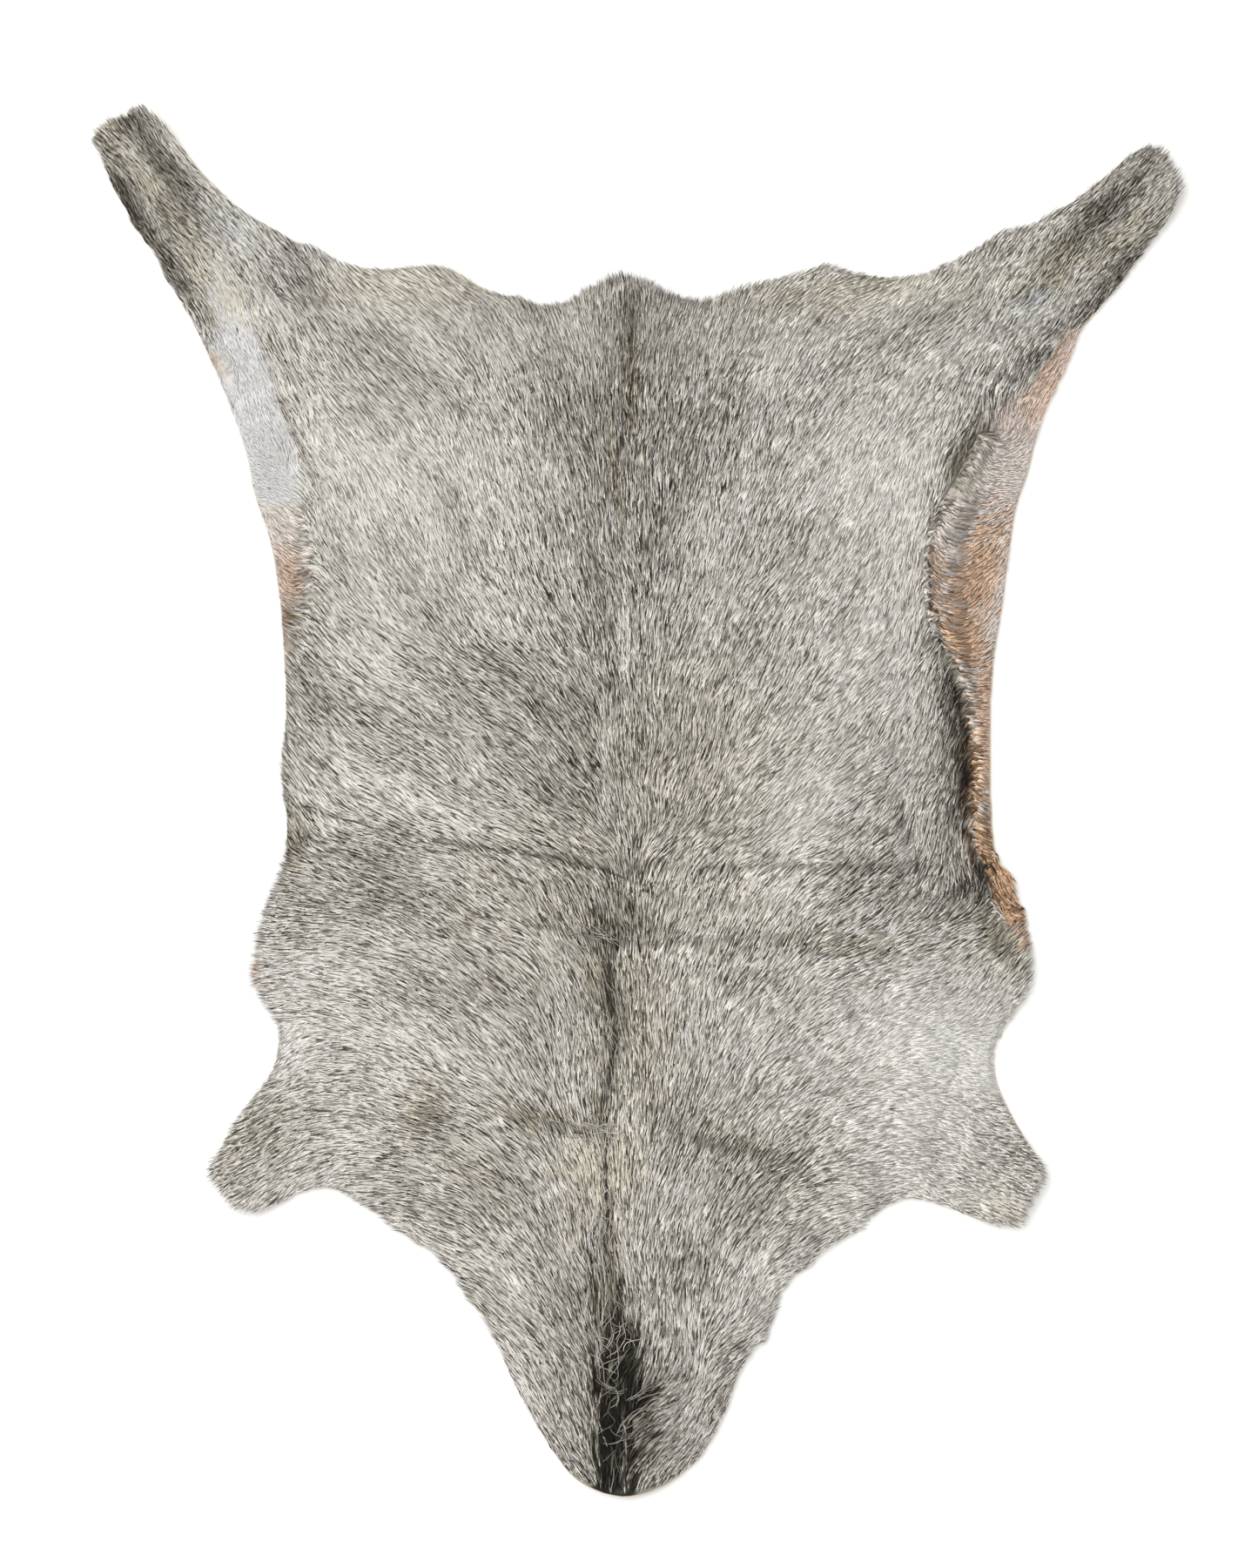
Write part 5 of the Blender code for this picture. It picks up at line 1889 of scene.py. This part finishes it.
@dataclass
class LongHairs:
    """Long single hairs that cross each other on the mane, and dark ones on the creases as painted
    shadow.

    Each is a thin closed tube of three sides along an arc: its direction
    turns evenly from root to tip with a wave on it, and it rises and falls.

    Attributes:
        laid: A dark hair along a crease, painted shadow, whose place and angle are filled in.
        ahead: Distance along a crease over which its direction is read, mm.
        taper: How much thinner the tip is than the root.
        loose_spread: Spread of directions from which a hair is wholly loose.
        wave: Swing of a loose hair's wave, radians, and its turns, radians.
        rise: Least and greatest height of a loose hair's arc, mm.
        rim_room: How far the hairs stay inside the rim, mm.
    """

    relief: Relief
    hair: bpy.types.Material
    swirls: tuple[Swirl, ...]
    creases: tuple[Crease, ...]
    laid: Swirl = Swirl(0.0, 0.0, 0.5, 0.7, 0.0, 6.0, 1, 9.0, 0.34, 0.0)
    ahead: float = 4.0
    rings: int = 7
    sides: int = 3
    thickness: float = 0.72
    taper: float = 0.7
    scatter: float = 0.5
    loose_spread: float = 30.0
    turn_spread: float = 0.6
    length_spread: tuple[float, float] = (0.6, 1.25)
    wave: tuple[float, float] = (0.32, 7.0)
    clear: float = 0.2
    rise: tuple[float, float] = (0.4, 1.9)
    rise_power: float = 0.6
    rim_room: float = 1.0
    light_spread: float = 0.10
    tip_paler: float = 0.03
    tip_warmer: float = 0.06
    near: float = 0.004
    seed: int = 33

    def build(self) -> bpy.types.Object:
        """Make all the long hairs as one piece."""
        rng = np.random.default_rng(self.seed)
        table = []
        for swirl in self.swirls:
            table.extend([swirl] * swirl.count)
        for crease in self.creases:
            # dark hairs along each crease: a painted shadow line
            table.extend(self._along(rng, crease))
        each = Swirl(*np.array(table, dtype=float).T)
        count = len(table)
        x, y = to_frame(
            each.across + rng.normal(0.0, self.scatter, count) * each.half_width,
            each.along + rng.normal(0.0, self.scatter, count) * each.half_length,
        )
        start = np.radians(each.angle + rng.uniform(-1.0, 1.0, count) * each.spread)
        loose = np.minimum(each.spread / self.loose_spread, 1.0)
        turn = np.radians(each.turn) + rng.normal(0.0, self.turn_spread, count) * loose
        length = each.length * rng.uniform(*self.length_spread, count)
        t = np.linspace(0.0, 1.0, self.rings)
        step = length[:, None] / (self.rings - 1)
        phase = rng.uniform(0.0, 2.0 * math.pi, count)
        swing, turns = self.wave
        wave = swing * loose[:, None] * np.sin(phase[:, None] + turns * t[None, :-1])
        way = start[:, None] + turn[:, None] * (t[None, :-1] - 0.5) + wave
        px = self._walk(x, step * np.cos(way))
        py = self._walk(y, step * np.sin(way))
        arc = np.sin(math.pi * t)[None, :] ** self.rise_power
        rise = (rng.uniform(*self.rise, count) * loose)[:, None] * arc
        pz = self.relief.top_at(px, py) + self.clear + rise
        good = self.relief.gap_at(px, py).min(axis=1) > self.rim_room
        places = self._tubes(px[good], py[good], pz[good], way[good], t)
        palette = self._colours(rng, each.lightness[good], t).reshape(-1, 2)
        faces = self._faces(len(places))
        return mesh_piece("mane_long_hairs", places.reshape(-1, 3), faces, self.hair, palette)

    def _walk(self, start: Array, steps: Array) -> Array:
        """Add up each hair's steps from its start."""
        return start[:, None] + np.pad(np.cumsum(steps, axis=1), ((0, 0), (1, 0)))

    def _tubes(self, x: Array, y: Array, z: Array, way: Array, t: Array) -> Array:
        """Set a ring of corners round each point of each hair, square to its way.

        Args:
            x: Points of the hairs, hairs by points, mm.
            y: The same along.
            z: The same upwards.
            way: Direction from each point but the last, radians.
            t: Share of the length at each point.

        Returns:
            Corners in mm, hairs by points by corners by axes.
        """
        heading = np.concatenate([way, way[:, -1:]], axis=1)
        radius = 0.5 * self.thickness * (1.0 - self.taper * t ** 2)[None, :] * np.ones((len(x), 1))
        corners = []
        for side in range(self.sides):
            spin = 2.0 * math.pi * side / self.sides + 0.5 * math.pi
            off = radius * math.cos(spin)
            corners.append(np.stack([
                x - off * np.sin(heading),
                y + off * np.cos(heading),
                z + radius * math.sin(spin),
            ], axis=2))
        return np.stack(corners, axis=2)

    def _colours(self, rng: np.random.Generator, light: Array, t: Array) -> Array:
        """Palette places of every corner, a little paler and warmer to the tip."""
        side = self.near * np.arange(self.sides)[None, None, :]
        along = t[None, :, None]
        light = light + rng.normal(0.0, self.light_spread, len(light))
        light = light[:, None, None] + self.tip_paler * along + side
        warm = Tint.IVORY.value + side + self.tip_warmer * along
        palette = np.stack([light, np.broadcast_to(warm, light.shape)], axis=3)
        return np.clip(palette, *Palette.SPAN)

    def _along(self, rng: np.random.Generator, crease: Crease) -> list[Swirl]:
        """Lay dark hairs end over end along a crease as a painted shadow line, each a swirl of one.
        """
        points = np.array(crease.points, dtype=float)
        run = np.concatenate([[0.0], np.cumsum(np.hypot(*np.diff(points, axis=0).T))])
        hairs = []
        for spot in rng.uniform(0.0, run[-1], crease.laid):
            x, y = (float(np.interp(spot, run, points[:, axis])) for axis in (0, 1))
            ahead = spot + self.ahead
            next_x, next_y = (float(np.interp(ahead, run, points[:, axis])) for axis in (0, 1))
            angle = math.degrees(math.atan2(next_y - y, next_x - x))
            hairs.append(self.laid._replace(across=x, along=y, angle=angle))
        return hairs

    def _faces(self, count: int) -> Array:
        """Faces of a tube of three sides, with a triangle over each end."""
        one = []
        n = self.sides
        for ring in range(self.rings - 1):
            for side in range(n):
                a = n * ring + side
                b = n * ring + (side + 1) % n
                one.append((a, a + n, b))
                one.append((b, a + n, b + n))
        last = n * (self.rings - 1)
        one.append((0, 1, 2))
        one.append((last, last + 2, last + 1))
        base = n * self.rings * np.arange(count)
        return (np.array(one)[None] + base[:, None, None]).reshape(-1, 3)


@dataclass
class Studio:
    """White floor, soft light and a camera straight above the hide."""

    distance: float = 3.4
    sensor: float = 36.0
    furthest: float = 50.0
    floor_half: float = 3.0
    floor_drop: float = 0.0004
    lamp_place: tuple[float, float, float] = (-1.3, 1.3, 2.0)
    key_power: float = 1.68
    softness: float = 50.0
    fill: float = 0.88

    def build(self) -> None:
        """Set the floor, the lights and the camera."""
        self._floor()
        self._lights()
        self._camera()
        bpy.context.scene.view_settings.view_transform = "Standard"

    def _floor(self) -> None:
        """Lay a large matt white floor just under the hide."""
        mesh = bpy.data.meshes.new("floor")
        square = ((-1, -1), (1, -1), (1, 1), (-1, 1))
        corners = [(a * self.floor_half, b * self.floor_half, -self.floor_drop) for a, b in square]
        mesh.from_pydata(corners, [], [(0, 1, 2, 3)])
        floor = bpy.data.objects.new("floor", mesh)
        bpy.context.scene.collection.objects.link(floor)
        material, _, shader = new_material("matt_white_paint", roughness=0.9, gloss=0.1)
        shader.inputs["Base Color"].default_value = srgb("#F8F8F6")
        mesh.materials.append(material)

    def _lights(self) -> None:
        """Shine an even soft light from the upper left and fill from all round."""
        light = bpy.data.lights.new("soft_sky", "SUN")
        light.angle = math.radians(self.softness)
        light.energy = self.key_power
        lamp = bpy.data.objects.new("soft_sky", light)
        lamp.location = self.lamp_place
        lamp.rotation_mode = "QUATERNION"
        lamp.rotation_quaternion = (-lamp.location).to_track_quat("-Z", "Y")
        bpy.context.scene.collection.objects.link(lamp)
        world = bpy.data.worlds.new("pale_room")
        world.use_nodes = True
        sky = world.node_tree.nodes["Background"]
        sky.inputs["Color"].default_value = srgb("#FFFFFF")
        sky.inputs["Strength"].default_value = self.fill
        bpy.context.scene.world = world

    def _camera(self) -> None:
        """Look straight down so that the hide fills the photograph's frame."""
        camera = bpy.data.cameras.new("camera")
        camera.sensor_width = self.sensor
        frame_height = PHOTO_HEIGHT * PHOTO_SCALE * MM
        camera.lens = self.sensor * self.distance / frame_height
        camera.clip_end = self.furthest
        eye = bpy.data.objects.new("camera", camera)
        across = (0.5 * PHOTO_WIDTH - HIDE_MIDDLE_PX[0]) * PHOTO_SCALE * MM
        along = (HIDE_MIDDLE_PX[1] - 0.5 * PHOTO_HEIGHT) * PHOTO_SCALE * MM
        eye.location = (across, along, self.distance)
        bpy.context.scene.collection.objects.link(eye)
        bpy.context.scene.camera = eye


def report(piece: bpy.types.Object) -> None:
    """Log a piece's name and size."""
    LOG.info("%s: %d faces", piece.name, len(piece.data.polygons))


def main() -> None:
    """Build the hide's pieces in order, then the studio."""
    logging.basicConfig(level=logging.INFO, format="%(message)s")
    relief = Relief("hide")
    comb = Comb(
        SPINE_STROKES
        + LEFT_STROKES
        + LEFT_SHOULDER_STROKES
        + LEFT_LEG_STROKES
        + RIGHT_STROKES
        + RIGHT_SHOULDER_STROKES
        + RIGHT_LEG_STROKES
        + CREASE_STROKES,
        PANELS,
    )
    comb.prepare(relief)
    shades = Shades(
        BROAD_TONES + SPINE_TONES + LEFT_TONES + LEFT_LEG_TONES + RIGHT_TONES + RIGHT_LEG_TONES,
        PANELS,
        CREASES,
        SLEEK_TONES,
    )
    shades.prepare(relief, comb)
    hair = HairFinish("goat_hair", roughness=0.55, gloss=0.22).make()
    skin = Skin(relief).build()
    report(skin)
    underwool = Underwool(relief, shades, hair).build()
    report(underwool)
    locks = Coat(relief, comb, shades, hair).build()
    for piece in locks:
        report(piece)
    mane = LongHairs(relief, hair, SWIRLS, CREASES).build()
    report(mane)
    Studio().build()


if __name__ == "__main__":
    main()
